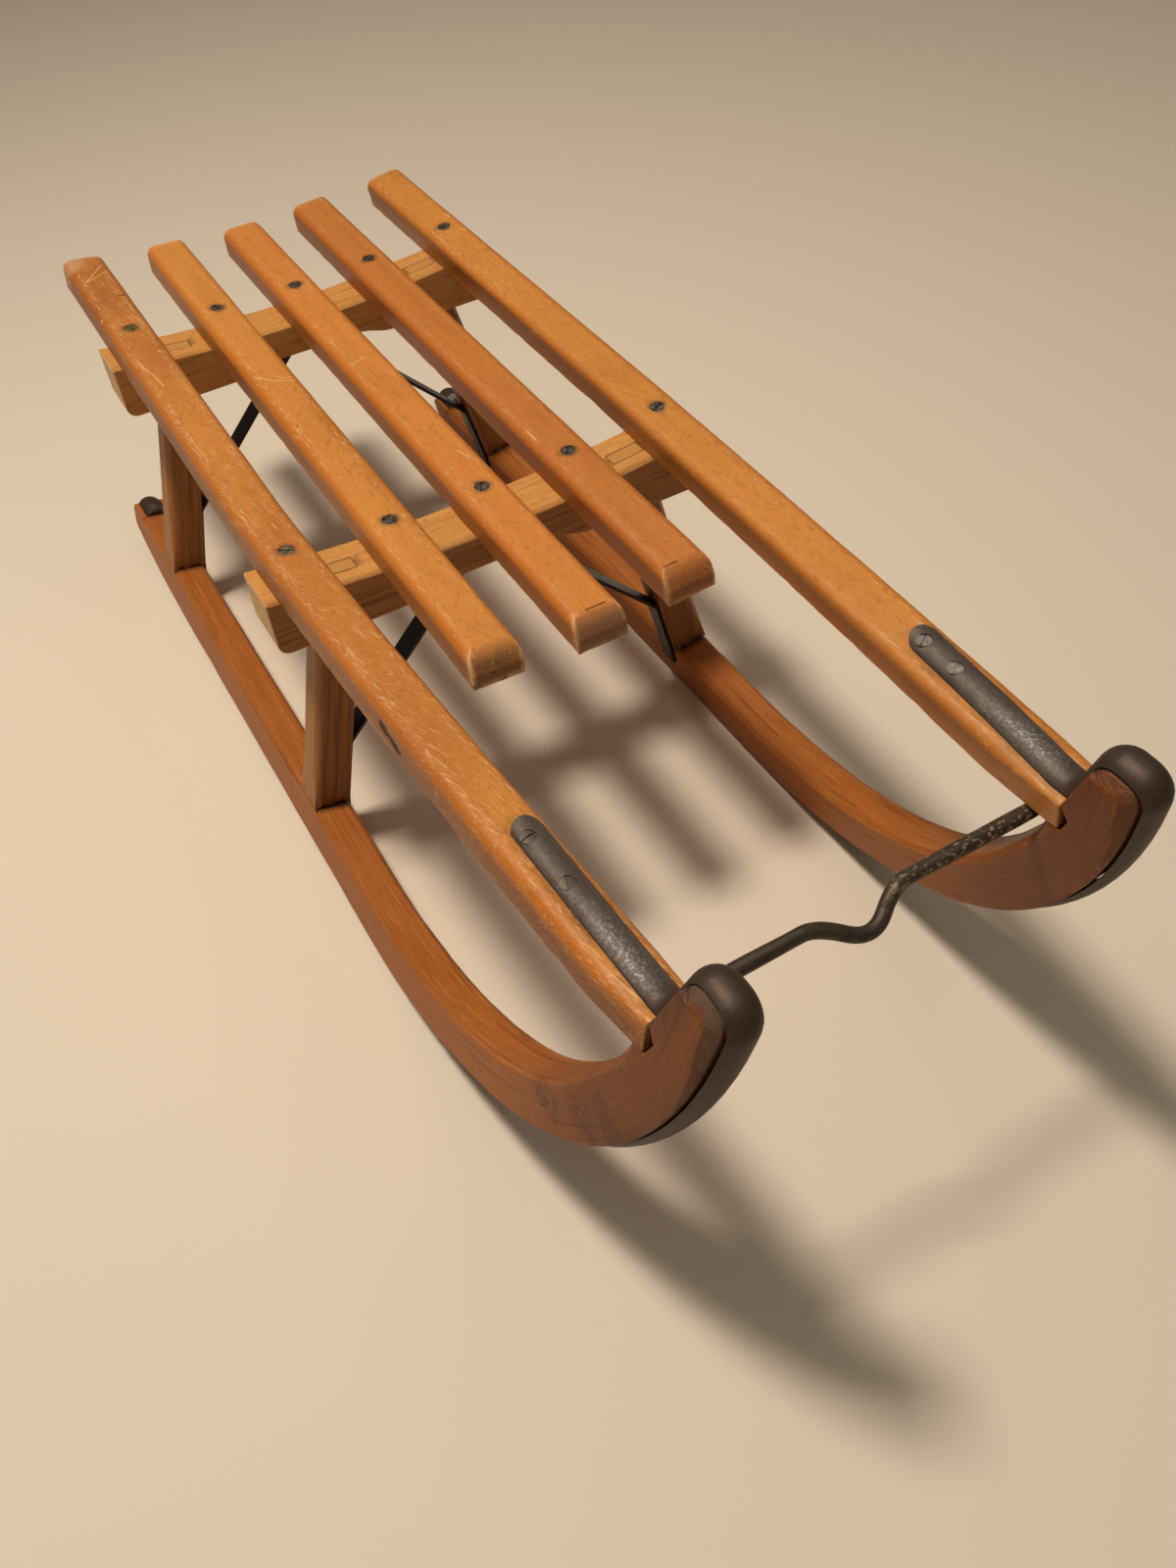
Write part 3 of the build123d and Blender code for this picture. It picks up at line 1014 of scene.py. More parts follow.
    def made(
        self, material: bpy.types.Material, grain: Grain, marks: dict[str, Rule] | None = None
    ) -> None:
        """Turn the mesh into a finished object that rides on the sled's body.

        Args:
            material: Its material.
            grain: Its coordinates for the material.
            marks: Further named masks, each from the points to values.
        """
        mesh = bpy.data.meshes.new(self.name)
        for face in self.bm.faces:
            face.smooth = True
        for edge in self.bm.edges:
            edge.smooth = edge.calc_face_angle(0.0) < CREASE
        self.bm.normal_update()
        normals = np.array([v.normal[:] for v in self.bm.verts])
        worn = np.array(self.arrises())
        self.bm.to_mesh(mesh)
        self.bm.free()
        points = np.zeros(len(mesh.vertices) * 3)
        mesh.vertices.foreach_get("co", points)
        points = points.reshape(-1, 3)
        place = mesh.attributes.new("grain", "FLOAT_VECTOR", "POINT")
        place.data.foreach_set("vector", grain.at(points).astype(np.float32).ravel())
        facing = np.abs((normals * grain.along(points)).sum(axis=1))
        masks = {"ends": (facing - END_START) / END_RISE, "worn": worn}
        masks.update((name, rule(points)) for name, rule in (marks or {}).items())
        for name, mask in masks.items():
            layer = mesh.attributes.new(name, "FLOAT", "POINT")
            layer.data.foreach_set("value", np.clip(mask, 0, 1).astype(np.float32))
        mesh.materials.append(material)
        shown = show(self.name, mesh)
        shown.modifiers.new("flat_normals", "WEIGHTED_NORMAL").keep_sharp = True
        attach(shown, BODY)
        if self.nodes:
            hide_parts(*self.nodes)
        LOG.info("%s: %d faces", self.name, len(mesh.polygons))


@dataclass(frozen=True)
class Touching:
    """Rule for a mark that is one where a piece meets its neighbours.

    Args:
        trees: Search trees of the neighbours.
        reach: Distance at which the mark has faded out.
        start: X behind which there is no mark.
    """

    trees: tuple[BVHTree, ...]
    reach: float
    start: float

    @classmethod
    def nodes(
        cls, frame: dict, names: Iterable[str], reach: float, start: float = -math.inf
    ) -> "Touching":
        """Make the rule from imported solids.

        Args:
            names: Names of the neighbours.
            reach: Distance at which the mark has faded out.
            start: X behind which there is no mark.

        Returns:
            The rule.
        """
        trees = []
        for name in names:
            bm = bmesh.new()
            bm.from_mesh(frame["nodes"][name].data)
            trees.append(BVHTree.FromBMesh(bm))
            bm.free()
        return cls(tuple(trees), reach, start)

    def __call__(self, points: np.ndarray) -> np.ndarray:
        """Give the mark's value at rows of points.

        Args:
            points: Rows of X, Y and Z in metres.

        Returns:
            Zero to one for each point.
        """
        limit = self.reach * MM
        values = np.zeros(len(points))
        for row, point in enumerate(points):
            if point[0] < self.start * MM:
                continue
            for tree in self.trees:
                far = tree.find_nearest(Vector(point), limit)[3]
                if far is not None:
                    values[row] = max(values[row], 1 - far / limit)
        return values


@dataclass(frozen=True)
class ScrewPlace:
    """Where a screw sits.

    Args:
        place: Middle of the hole at the surface, in metres.
        up: Direction out of the surface.
        turn: Angle of the slot.
    """

    place: Vector
    up: Vector
    turn: float


@dataclass(frozen=True)
class Screw:
    """Slotted countersunk wood screw, of which only the head shows.

    Args:
        head: Diameter of the head.
        deep: Thickness of the head that is made.
        slot_wide: Width of the slot.
        slot_deep: Depth of the slot.
        sunk: How far the head lies below the surface.
        gap: Width of the gap round the head.
        seat: How far the head goes into the bottom of its hole.
        crown: Radius of the round iron that the head is filed to, or zero for a flat head.
        wear: How its rim is rounded, and the net of a filed head.
        sides: Sides of the circle that draws it.
    """

    head: float = 10.6
    deep: float = 1.6
    slot_wide: float = 1.5
    slot_deep: float = 1.0
    sunk: float = 0.3
    gap: float = 0.35
    seat: float = 0.2
    crown: float = 0.0
    wear: Wear = Wear(0.22, (1.6, 1.6, 9.0), sharp=40)
    sides: int = 40

    def hole(self, cutter: bmesh.types.BMesh, at: ScrewPlace) -> None:
        """Add the shape of the countersunk hole to a cutter.

        Args:
            cutter: The mesh that is taken away from the piece.
            at: Where the screw sits.
        """
        radius = (self.head / 2 + self.gap) * MM
        made = bmesh.ops.create_cone(
            cutter,
            cap_ends=True,
            segments=self.sides,
            radius1=radius,
            radius2=radius,
            depth=2 * (self.sunk + self.deep - self.seat) * MM,
        )
        bmesh.ops.transform(cutter, matrix=self.placed(at, 0.0), verts=made["verts"])

    def placed(self, at: ScrewPlace, sunk: float) -> Matrix:
        """Give the transform from a head at the origin to its place, sunk by a depth."""
        spin = Matrix.Rotation(math.radians(at.turn), 4, "Z")
        return standing(at.place - at.up * (sunk * MM), at.up) @ spin

    def lowered(self, bm: bmesh.types.BMesh, faces: list[bmesh.types.BMFace], deep: float) -> None:
        """Draw faces down and leave walls round them.

        Args:
            bm: The head's mesh.
            faces: The faces.
            deep: How far they go down.
        """
        body = bmesh.ops.extrude_face_region(bm, geom=faces)
        lower = [v for v in body["geom"] if isinstance(v, bmesh.types.BMVert)]
        bmesh.ops.translate(bm, verts=lower, vec=(0, 0, -deep * MM))

    def build(self, name: str, at: ScrewPlace, material: bpy.types.Material) -> None:
        """Make one screw head.

        Args:
            name: Name of the piece.
            at: Where the screw sits.
            material: Its material.
        """
        piece = Piece(name=name, slot="shoe_iron")
        bm = piece.bm
        half = self.slot_wide / 2 * MM
        bmesh.ops.create_circle(bm, cap_ends=True, radius=self.head / 2 * MM, segments=self.sides)
        self.lowered(bm, list(bm.faces), self.deep)
        bmesh.ops.recalc_face_normals(bm, faces=list(bm.faces))
        for sign in (1, -1):
            piece.cut(LEFTWARD * (sign * half), LEFTWARD)
        tops = [f for f in bm.faces if f.normal.z > 0.9]
        floor = [f for f in tops if abs(f.calc_center_median().y) < half]
        self.lowered(bm, floor, self.slot_deep)
        bmesh.ops.delete(bm, geom=floor, context="FACES_ONLY")
        piece.soften(self.wear)
        if self.crown:
            piece.net(self.wear.net)
        bmesh.ops.transform(bm, matrix=self.placed(at, self.sunk), verts=bm.verts)
        if self.crown:
            for vert in bm.verts:
                vert.co -= at.up * ((vert.co.y - at.place.y) ** 2 / (2 * self.crown * MM))
        piece.made(material, StraightGrain(Vector((1, 0, 0)), UP))


@dataclass(frozen=True)
class OuterBend:
    """Middle line of an outer slat: straight over the bars, then in and up to the nose.

    Args:
        rest: Y and Z of the top's middle where it is straight.
        tip: Y and Z of the top's middle at the nose.
        start: X where the bend starts.
        end: X where it ends.
        power: How late it bends, with one for a straight line.
    """

    rest: tuple[float, float] = (147.0, 285.0)
    tip: tuple[float, float] = (125.04, 299.30)
    start: float = -51.81
    end: float = 455.39
    power: float = 1.35

    def middle(self, x: np.ndarray) -> tuple[np.ndarray, np.ndarray]:
        """Follow the middle of the top.

        Args:
            x: Places along the sled, in metres.

        Returns:
            Y on the left side and Z at each of them, in metres.
        """
        share = rise(x, self.start, self.end - self.start) ** self.power
        y = self.rest[0] + (self.tip[0] - self.rest[0]) * share
        z = self.rest[1] + (self.tip[1] - self.rest[1]) * share
        return y * MM, z * MM


@dataclass(frozen=True)
class SlatGrain(Grain):
    """Fibres of a slat, which follow its bend.

    Args:
        middle_y: Y of the slat's middle.
        bend: The bend of an outer slat, or nothing.
        top_z: Height of the top of an inner slat, nearly enough for the pattern.
    """

    middle_y: float
    bend: OuterBend | None = None
    top_z: float = 280.0

    def at(self, points: np.ndarray) -> np.ndarray:
        """Give the points in the timber's coordinates, as Grain.at says."""
        if self.bend is None:
            return points - np.array([0, self.middle_y * MM, self.top_z * MM])
        y, z = self.bend.middle(points[:, 0])
        side = math.copysign(1.0, self.middle_y)
        return points - np.column_stack((np.zeros(len(points)), side * y, z))


@dataclass(frozen=True)
class Slat:
    """What one slat has to itself.

    Args:
        middle: Y of its middle.
        tint: Coats that set its colour and its own marks.
        turns: Angles of its screws' slots, front and rear.
        saw_cut: X, Y and length of a saw mark across its top, or nothing.
        brassy: True where its screws have gone the colour of old brass.
    """

    middle: float
    tint: tuple[Coat, ...]
    turns: tuple[float, float]
    saw_cut: Place | None = None
    brassy: bool = False


# The stains round the screws are where wet beech has met iron.
STAIN = Coat("#463A30", 0.6, (Figure(7, 6, (0.3, 0.55), seed=44),))
BRUISE = Coat("#2A1208", 0.92, rough=0.4)
SCORE = Coat(NICK, 0.6, rough=0.15, height=-0.02)


def chain(radius: float, *places: Place) -> tuple[Stroke, ...]:
    """Give the strokes, all of one radius, that join places one after the other."""
    return tuple((start, end, radius) for start, end in zip(places, places[1:]))


SLATS = (
    Slat(
        -147.0,
        (
            Coat("#A9632A", 0.45, (Figure(260, 60, (0.36, 0.6), seed=51),)),
            Coat(
                "#8E4A22",
                0.4,
                (Figure(70, 40, (0.3, 0.55), seed=54),),
                spots=((-440, -147, 285, 80),),
            ),
            Coat(
                "#C9A078",
                0.55,
                (Figure(14, 9, (0.3, 0.55), seed=57),),
                spots=((-496, -163, 281, 22),),
            ),
            Coat(
                NICK,
                0.55,
                (Figure(8, 1.0, (0.58, 0.66), turn=6, detail=1, seed=56.5),),
                marks=("brink",),
                rough=0.15,
                height=-0.03,
            ),
            replace(
                SCORE,
                spots=((-380, -164, 283.5, 2.6), (-302, -138.4, 284, 1.8)),
                strokes=(
                    *chain(0.8, (-485.2, -133.1, 283.5), (-448.4, -160.0, 286.4)),
                    *chain(0.8, (-469.2, -133.1, 283.5), (-451.5, -157.3, 286.1)),
                    *chain(
                        0.8,
                        (-303.0, -162.5, 286.7),
                        (-289.8, -159.3, 286.5),
                        (-267.4, -154.7, 285.9),
                        (-244.5, -152.1, 285.6),
                    ),
                ),
            ),
            replace(
                BRUISE,
                strokes=chain(
                    1.2,
                    (-415.2, -138.7, 284.1),
                    (-414.6, -135.4, 283.7),
                    (-418.2, -132.1, 283.2),
                ),
            ),
            *scratches(
                (
                    (34, 7, 0.6, 0.71, 52.0),
                    (24, 24, 0.55, 0.72, 53.0),
                    (18, 58, 0.5, 0.73, 55.0),
                )
            ),
            replace(
                BRUISE,
                spots=tuple(
                    (190 + 23 * k / 5, -159.5 + 2 * k / 5, 281 - 4 * k / 5, radius)
                    for k, radius in enumerate((4.5, 5, 3, 4, 4.5, 3))
                ),
            ),
        ),
        (66.0, 20.0),
        brassy=True,
    ),
    Slat(
        -71.8,
        (
            Coat("#D69042", 0.35, (Figure(240, 60, (0.35, 0.6), seed=55),)),
            replace(
                SCORE,
                strokes=(
                    *chain(
                        0.9,
                        (-226.5, -85.9, 279.4),
                        (-217.5, -79.8, 279.1),
                        (-210.6, -73.0, 278.7),
                        (-202.5, -57.8, 277.9),
                    ),
                    *chain(
                        0.8,
                        (-218.7, -71.8, 278.6),
                        (-212.2, -66.7, 278.3),
                        (-208.5, -58.6, 277.9),
                    ),
                ),
            ),
        ),
        (38.0, 8.0),
    ),
    Slat(
        0.0,
        (
            Coat("#CE7A36", 0.3),
            Coat("#6F5A48", 0.5, marks=("ends",)),
            replace(
                SCORE,
                strokes=(
                    *chain(0.7, (-198.0, -14.0, 276.7), (-203.8, 1.8, 276.6)),
                    *chain(0.8, (-41.1, 5.1, 276.6), (-28.0, 9.3, 276.6)),
                ),
            ),
        ),
        (150.0, 12.0),
        (164.4, 1.9, 15.0),
    ),
    Slat(
        70.8,
        (
            Coat("#AD6028", 0.45),
            replace(SCORE, strokes=chain(0.9, (-31.4, 58.4, 277.9), (-17.7, 58.3, 277.9))),
        ),
        (140.0, 25.0),
        (158.0, 58.1, 20.0),
    ),
    Slat(147.0, (Coat("#BB7C34", 0.3, (Figure(240, 60, (0.35, 0.6), seed=58),)),), (115.0, 70.0)),
)


@dataclass
class Slats:
    """The five slats of the seat with their screws.

    Args:
        slats: What each slat has to itself, from right to left.
        wide: Width of a slat.
        hollow: How far the seat's middle lies below its sides.
        reach: Y of the outer slats' middles.
        stain: Radius of the stain round a screw.
        grime: Reach of the dirt round the iron on an outer slat.
        saw_wide: Width of a saw mark.
        saw_deep: Depth of a saw mark.
        ends: X of the slats' two ends, near which their arrises are rubbed bare.
        edge: How far in from its side a slat's top rounds over.
        overhead: A height from which rays go down to the slats.
        wear: How the slats are worn.
        screw: Their screws.
    """

    frame: dict
    slats: tuple[Slat, ...] = SLATS
    wide: float = 37.0
    hollow: float = 8.4
    reach: float = 147.0
    stain: float = 10.5
    grime: float = 6.0
    saw_wide: float = 0.6
    saw_deep: float = 0.7
    ends: tuple[float, float] = (-488.0, 168.0)
    edge: float = 7.0
    overhead: float = 400.0
    wear: Wear = Wear(1.0, (9.0, 4.5, 8.0), 0.25, 0.9)
    screw: Screw = Screw()

    def lie(self, y: float) -> Vector:
        """Give the direction square to the seat at a distance from the middle."""
        slope = 2 * self.hollow * y / self.reach**2
        return Vector((0, -slope, 1)).normalized()

    def build(self) -> None:
        """Make the slats and drive their screws."""
        steel = SCREW_STEEL.material()
        brass = SCREW_STEEL.material(extra=(BRASSY,), name="old_brassy_screws")
        for number, slat in enumerate(self.slats, start=1):
            outer = abs(slat.middle) == self.reach
            grain = SlatGrain(slat.middle, OuterBend() if outer else None)
            piece = Piece.copied(self.frame, f"slat_{number}", "slat_wood")
            piece.soften(self.wear)
            screws = self.holes(piece, slat)
            piece.age(self.wear, number * 3.1)
            stains = tuple((*(at.place / MM), self.stain) for at in screws.values())
            finish = SLAT_BEECH.material(
                shift=number * 0.37,
                extra=(*slat.tint, replace(STAIN, spots=stains)),
                name=f"varnished_beech_slat_{number}",
            )
            marks = {**self.zones(grain), "tips": self.tips}
            if outer:
                side = Side.LEFT if slat.middle > 0 else Side.RIGHT
                shoe = [f"iron_shoe_{side.word}"]
                marks["grime"] = Touching.nodes(self.frame, shoe, self.grime)
            piece.made(finish, grain, marks)
            metal = brass if slat.brassy else steel
            for bar, at in screws.items():
                self.screw.build(f"slat_screw_{number}_{bar}", at, metal)

    def holes(self, piece: Piece, slat: Slat) -> dict[str, ScrewPlace]:
        """Countersink the slat for its screws, and cut its saw mark.

        Args:
            piece: The slat's mesh.
            slat: What it has to itself.

        Returns:
            The place of the screw over each bar.
        """
        up = self.lie(slat.middle)
        cutter = bmesh.new()
        screws = {}
        for (bar, x), turn in zip(BAR_X.items(), slat.turns):
            place = piece.surface(Vector((x, slat.middle, self.overhead)) * MM)
            screws[bar] = ScrewPlace(place, up, turn)
            self.screw.hole(cutter, screws[bar])
        if slat.saw_cut:
            x, y, long = slat.saw_cut
            place = piece.surface(Vector((x, y, self.overhead)) * MM)
            made = bmesh.ops.create_cube(cutter, size=MM)
            size = Matrix.Diagonal((self.saw_wide, long, 2 * self.saw_deep, 1))
            bmesh.ops.transform(cutter, matrix=standing(place, up) @ size, verts=made["verts"])
        piece.carve(cutter)
        return screws

    def zones(self, grain: SlatGrain) -> dict[str, Rule]:
        """Make the rules for the marks along a slat.

        Args:
            grain: The slat's own coordinates.

        Returns:
            The rule of each mark, by its name.
        """
        half = self.wide / 2

        def side(points: np.ndarray) -> np.ndarray:
            """Give one at the sides, where shade is painted as a deeper orange, and zero on the
            flat of the top.
            """
            return rise(np.abs(grain.at(points)[:, 1]), half - self.edge, 5)

        def low(points: np.ndarray) -> np.ndarray:
            """Give one low on the sides, where shade is painted darker."""
            _, across, tall = grain.at(points).T
            return rise(np.abs(across), half - 4, 3) * rise(tall.max() - tall, 5, 4)

        def brink(points: np.ndarray) -> np.ndarray:
            """Give one where the top rounds over, which knocks hit first."""
            off = np.abs(grain.at(points)[:, 1]) - (half - self.edge) * MM
            return rise(-np.abs(off), -4.55, 3.5)

        return {"side": side, "low": low, "brink": brink}

    def tips(self, points: np.ndarray) -> np.ndarray:
        """Give one near the ends of the slats, where their arrises are rubbed bare."""
        rear, front = self.ends
        x = points[:, 0]
        return np.maximum(rise(-x, -rear, 6), rise(x, front - 9, 6) * (x < (front + 30) * MM))


@dataclass
class Runners:
    """The two bent runners with their curled noses.

    Args:
        half: Half of a runner's thickness.
        crown_edge: Width of the crown's bevel across the crown and down the side.
        fade_long: Height over which that bevel thins out below the crown.
        fade_least: Share of its width that is left at the end.
        iron_half: Half of the shoe's width.
        crown_low: Height from which the bevel of the crown is rubbed pale.
        gap: Width of the dark line along the iron.
        grime: Reach of the dirt round the iron of the nose.
        nose: X from which hands have darkened the wood round the iron.
        nose_shade_start: X from which the nose is painted darker than the rest, as shade.
        wear: How the runners are worn.
        plane: A runner's plane.
    """

    frame: dict
    half: float = 15.0
    crown_edge: tuple[float, float] = (5.0, 8.0)
    fade_long: float = 60.0
    fade_least: float = 0.22
    iron_half: float = 10.0
    crown_low: float = 300.0
    gap: float = 1.8
    grime: float = 13.0
    nose: float = 430.0
    nose_shade_start: float = 330.0
    wear: Wear = Wear(0.8, (8.0, 8.0, 8.0), 0.25, 0.7)
    plane: LeaningPlane = LeaningPlane()

    def build(self) -> None:
        """Make both runners."""
        for side in Side:
            piece = Piece.copied(self.frame, f"runner_{side.word}", "runner_wood")
            self.run_out(piece)
            piece.soften(self.wear)
            self.line_out(piece, side)
            piece.age(self.wear, 5.0 + side.value)
            finish = RUNNER_BEECH.material(
                shift=0.5 * side.value,
                extra=(*DARK_NOSE, *SCUFFS) if side is Side.RIGHT else (),
                name=f"varnished_beech_runner_{side.word}",
            )
            shoe = [f"iron_shoe_{side.word}"]
            posts = [f"post_{bar}_{side.word}" for bar in BAR_X]
            marks = {
                "crown": self.crown,
                "nose": self.painted_nose_shade,
                "gap": Touching.nodes(self.frame, [*shoe, *posts], self.gap),
                "grime": Touching.nodes(self.frame, shoe, self.grime, self.nose),
            }
            piece.made(finish, BentGrain(), marks)

    def run_out(self, piece: Piece) -> None:
        """Let the bevel of the crown thin out down the front arrises of the nose.

        Args:
            piece: The runner's mesh.
        """
        outside = self.half - 0.1
        piece.bm.verts.index_update()
        points = np.array([v.co[:] for v in piece.bm.verts])
        flat = self.plane.flatten(points) / MM
        depth = BentGrain().nearest(points)[1]
        front = np.abs(flat[:, 1]) > outside
        front &= (depth < 3 * MM) & (points[:, 0] > self.nose * MM)
        front &= flat[:, 2] > flat[front, 2].max() - self.fade_long
        edges = [
            e
            for e in piece.bm.edges
            if all(front[v.index] for v in e.verts) and e.calc_face_angle(0.0) > CREASE
        ]
        arris = [(v.co.copy(), w.co.copy()) for v, w in (e.verts for e in edges)]
        ends = [flat[v.index, 2] for e in edges for v in e.verts]
        LOG.info("run out: %d edges from %.1f to %.1f mm", len(edges), max(ends), min(ends))
        made = piece.bevel(edges, self.crown_edge[0])
        for vert in {v for face in made for v in face.verts}:
            _, out, up = self.plane.flatten(np.array([vert.co[:]]))[0] / MM
            near = min(
                (self.nearest(vert.co, *pair) for pair in arris),
                key=lambda place: (place - vert.co).length,
            )
            share = max(self.fade_least, min(1.0, (up - min(ends)) / (max(ends) - min(ends))))
            if abs(out) > outside:
                share *= self.crown_edge[1] / self.crown_edge[0]
            vert.co = near + (vert.co - near) * share
        piece.merge(0.02)

    @staticmethod
    def nearest(place: Vector, start: Vector, end: Vector) -> Vector:
        """Give the nearest place to a point on the stretch between two others."""
        share = intersect_point_line(place, start, end)[1]
        return start.lerp(end, min(1.0, max(0.0, share)))

    def line_out(self, piece: Piece, side: Side) -> None:
        """Cut the faces beside the iron, so that the dark line along it stays narrow.

        Args:
            piece: The runner's mesh.
            side: The side that it is on.
        """
        low = self.plane.point(0, 0, 0, side)
        out = (self.plane.point(0, 1, 0, side) - low).normalized()
        for sign in (1, -1):
            for far in (self.iron_half, self.iron_half + self.gap):
                piece.cut(self.plane.point(0, sign * far, 0, side), out)

    def painted_nose_shade(self, points: np.ndarray) -> np.ndarray:
        """Give one on the curled nose, where shade is painted darker than the rest of the runner.
        """
        return rise(points[:, 0], self.nose_shade_start, 90)

    def crown(self, points: np.ndarray) -> np.ndarray:
        """Give one on the bevels of the crown, which show rubbed end grain."""
        inside = self.half * MM - np.abs(self.plane.flatten(points)[:, 1])
        above = rise(points[:, 2], self.crown_low, 20)
        return rise(inside, 0.4, 0.8) * above * (points[:, 0] > self.nose * MM)


# Faint scuffs low on the right nose, where it has been knocked.
SCUFF_PLACES = (
    (384.0, -170.0, 144.0, 20.0),
    (418.0, -162.0, 176.0, 20.0),
    (440.0, -157.0, 200.0, 18.0),
)
SCUFFS = tuple(
    Coat(
        "#38190C",
        0.6,
        (Figure(9, 1.1, (0.57, 0.64), turn=turn, detail=1, seed=seed),),
        spots=SCUFF_PLACES,
    )
    for turn, seed in ((72, 61.0), (18, 62.0), (-58, 63.0))
)


@dataclass
class Bridges:
    """The two bridges: a crossbar on two posts, held square by a bent iron strip.

    Args:
        splay: Angle of a post to the upright.
        chamfer: Width of the chamfer on a post's outer arrises.
        run_out: Height over the foot at which the chamfer has its full width.
        post_long: Least length of an arris that is chamfered.
        front_face: Distance of a post's front from the middle of its bar.
        runner_deep: Depth of the runner under a post.
        notches: Places of the torn notches across a post's foot, and their heights.
        notch_round: Radius of what cuts a notch, at its bottom and at its tip.
        notch_shade: Radius of the painted shade in a notch.
        gap: Width of the dark line where two timbers meet.
        grime: Reach of the painted shade on a post over its runner.
        bar_front: How much painted shade darkens the front of each bar.
        bar_wear: How the bars are worn.
        post_wear: How the posts are worn.
        brace_wear: How the braces are rounded.
        plane: A runner's plane.
    """

    frame: dict
    splay: float = 14.3
    chamfer: float = 4.6
    run_out: float = 48.0
    post_long: float = 100.0
    front_face: float = 10.0
    runner_deep: float = 42.6
    notches: tuple[tuple[float, float], ...] = ((-7.5, 5.5), (4.0, 4.0), (8.5, 6.0))
    notch_round: tuple[float, float] = (1.8, 0.1)
    notch_shade: float = 3.5
    gap: float = 0.9
    grime: float = 14.0
    bar_front: tuple[float, float] = (1.0, 0.5)
    bar_wear: Wear = Wear(0.8, (9.0, 9.0, 9.0), 0.2, 0.6)
    post_wear: Wear = Wear(0.8, (8.0, 8.0, 9.0), 0.2, 0.5, sharp=50)
    brace_wear: Wear = Wear(0.5, (20.0, 9.0, 9.0))
    plane: LeaningPlane = LeaningPlane()

    def build(self) -> None:
        """Make the bars, the posts and the braces."""
        across = StraightGrain(LEFTWARD, UP)
        for (bar, x), dark in zip(BAR_X.items(), self.bar_front):
            piece = Piece.copied(self.frame, f"crossbar_{bar}", "bar_wood")
            piece.soften(self.bar_wear)
            piece.age(self.bar_wear, x)
            wood = BAR_BEECH.material(shift=x * 0.01, name=f"oiled_beech_bar_{bar}")
            posts = [f"post_{bar}_{side.word}" for side in Side]
            marks = {
                "gap": Touching.nodes(self.frame, posts, self.gap),
                # Painted shade on the front face, at the bar's strength.
                "front": self.outermost(Vector((1, 0, 0)), dark),
            }
            piece.made(wood, across, marks)
            for side in Side:
                self.post(bar, x, side)
            brace = Piece.copied(self.frame, f"brace_{bar}", "brace_iron")
            brace.soften(self.brace_wear)
            brace.net(self.brace_wear.net)
            brace.made(BRACE_IRON.material(name=f"blackened_iron_brace_{bar}"), across)

    def outermost(self, way: Vector, strength: float = 1.0) -> Rule:
        """Make the rule for the face of a timber that lies furthest in one direction.

        Args:
            way: The direction.
            strength: The mark's value on that face.

        Returns:
            The rule.
        """

        def rule(points: np.ndarray) -> np.ndarray:
            """Give the strength on that face and zero five millimetres behind it."""
            far = points @ np.array(way)
            return rise(far - far.max(), -5, 3) * strength

        return rule

    def post(self, bar: str, x: float, side: Side) -> None:
        """Make one post, with its chamfers and the notches torn out of its foot.

        Args:
            bar: Word for the bar that it carries.
            x: Middle of that bar.
            side: The side that it is on.
        """
        angle = math.radians(self.splay)
        axis = Vector((0, -side.value * math.sin(angle), math.cos(angle)))
        outwards = Vector((0, side.value * math.cos(angle), math.sin(angle)))
        post = Piece.copied(self.frame, f"post_{bar}_{side.word}", "post_wood")
        self.thin_out(post, axis, side)
        post.soften(self.post_wear)
        cutter = bmesh.new()
        notch_shades = []
        for out, tall in self.notches:
            foot = self.plane.point(x + self.front_face, out * side.value, self.runner_deep, side)
            made = bmesh.ops.create_cone(
                cutter,
                cap_ends=True,
                segments=6,
                radius1=self.notch_round[0] * MM,
                radius2=self.notch_round[1] * MM,
                depth=2 * tall * MM,
            )
            bmesh.ops.transform(cutter, matrix=standing(foot, axis), verts=made["verts"])
            notch_shades.append((*(foot / MM), self.notch_shade))
        post.carve(cutter)
        post.age(self.post_wear, x + side.value)
        wood = POST_BEECH.material(
            shift=x * 0.013 + side.value,
            # Painted shade: dark spots in the torn notches at the foot.
            extra=(Coat("#170D07", 0.9, spots=tuple(notch_shades)),),
            name=f"varnished_beech_post_{bar}_{side.word}",
        )
        runner = [f"runner_{side.word}"]
        marks = {
            "gap": Touching.nodes(self.frame, runner, self.gap),
            # Painted shade at the foot, within reach of the runner.
            "grime": Touching.nodes(self.frame, runner, self.grime),
            # Painted light on the post's outer face.
            "outside": self.outermost(outwards),
        }
        post.made(wood, StraightGrain(axis, Vector((1, 0, 0))), marks)

    def thin_out(self, post: Piece, axis: Vector, side: Side) -> None:
        """Chamfer the outer arrises of a post, running out to nothing at its foot.

        Args:
            post: The post's mesh.
            axis: Direction up the post.
            side: The side that it is on.
        """
        long = [
            e
            for e in post.bm.edges
            if e.calc_length() > self.post_long * MM
            and abs((e.verts[1].co - e.verts[0].co).normalized().dot(axis)) > 0.999
        ]
        outward = {e: side.value * (e.verts[0].co.y + e.verts[1].co.y) / 2 for e in long}
        outer = [e for e in long if outward[e] > max(outward.values()) - 5 * MM]
        feet = [min(e.verts, key=lambda v: v.co.z).co.copy() for e in outer]
        layer = post.bm.faces.layers.int.new("chamfer")
        for face in post.bevel(outer, self.chamfer):
            face[layer] = 1
        for foot in feet:
            post.cut(foot + axis * (self.run_out * MM), axis)
        for vert in {v for face in post.bm.faces if face[layer] for v in face.verts}:
            foot = min(feet, key=lambda f: abs(f.x - vert.co.x))
            tall = (vert.co - foot).dot(axis)
            share = min(1.0, max(0.0, tall / (self.run_out * MM)))
            arris = foot + axis * tall
            vert.co = arris + (vert.co - arris) * share
        post.merge(0.01)


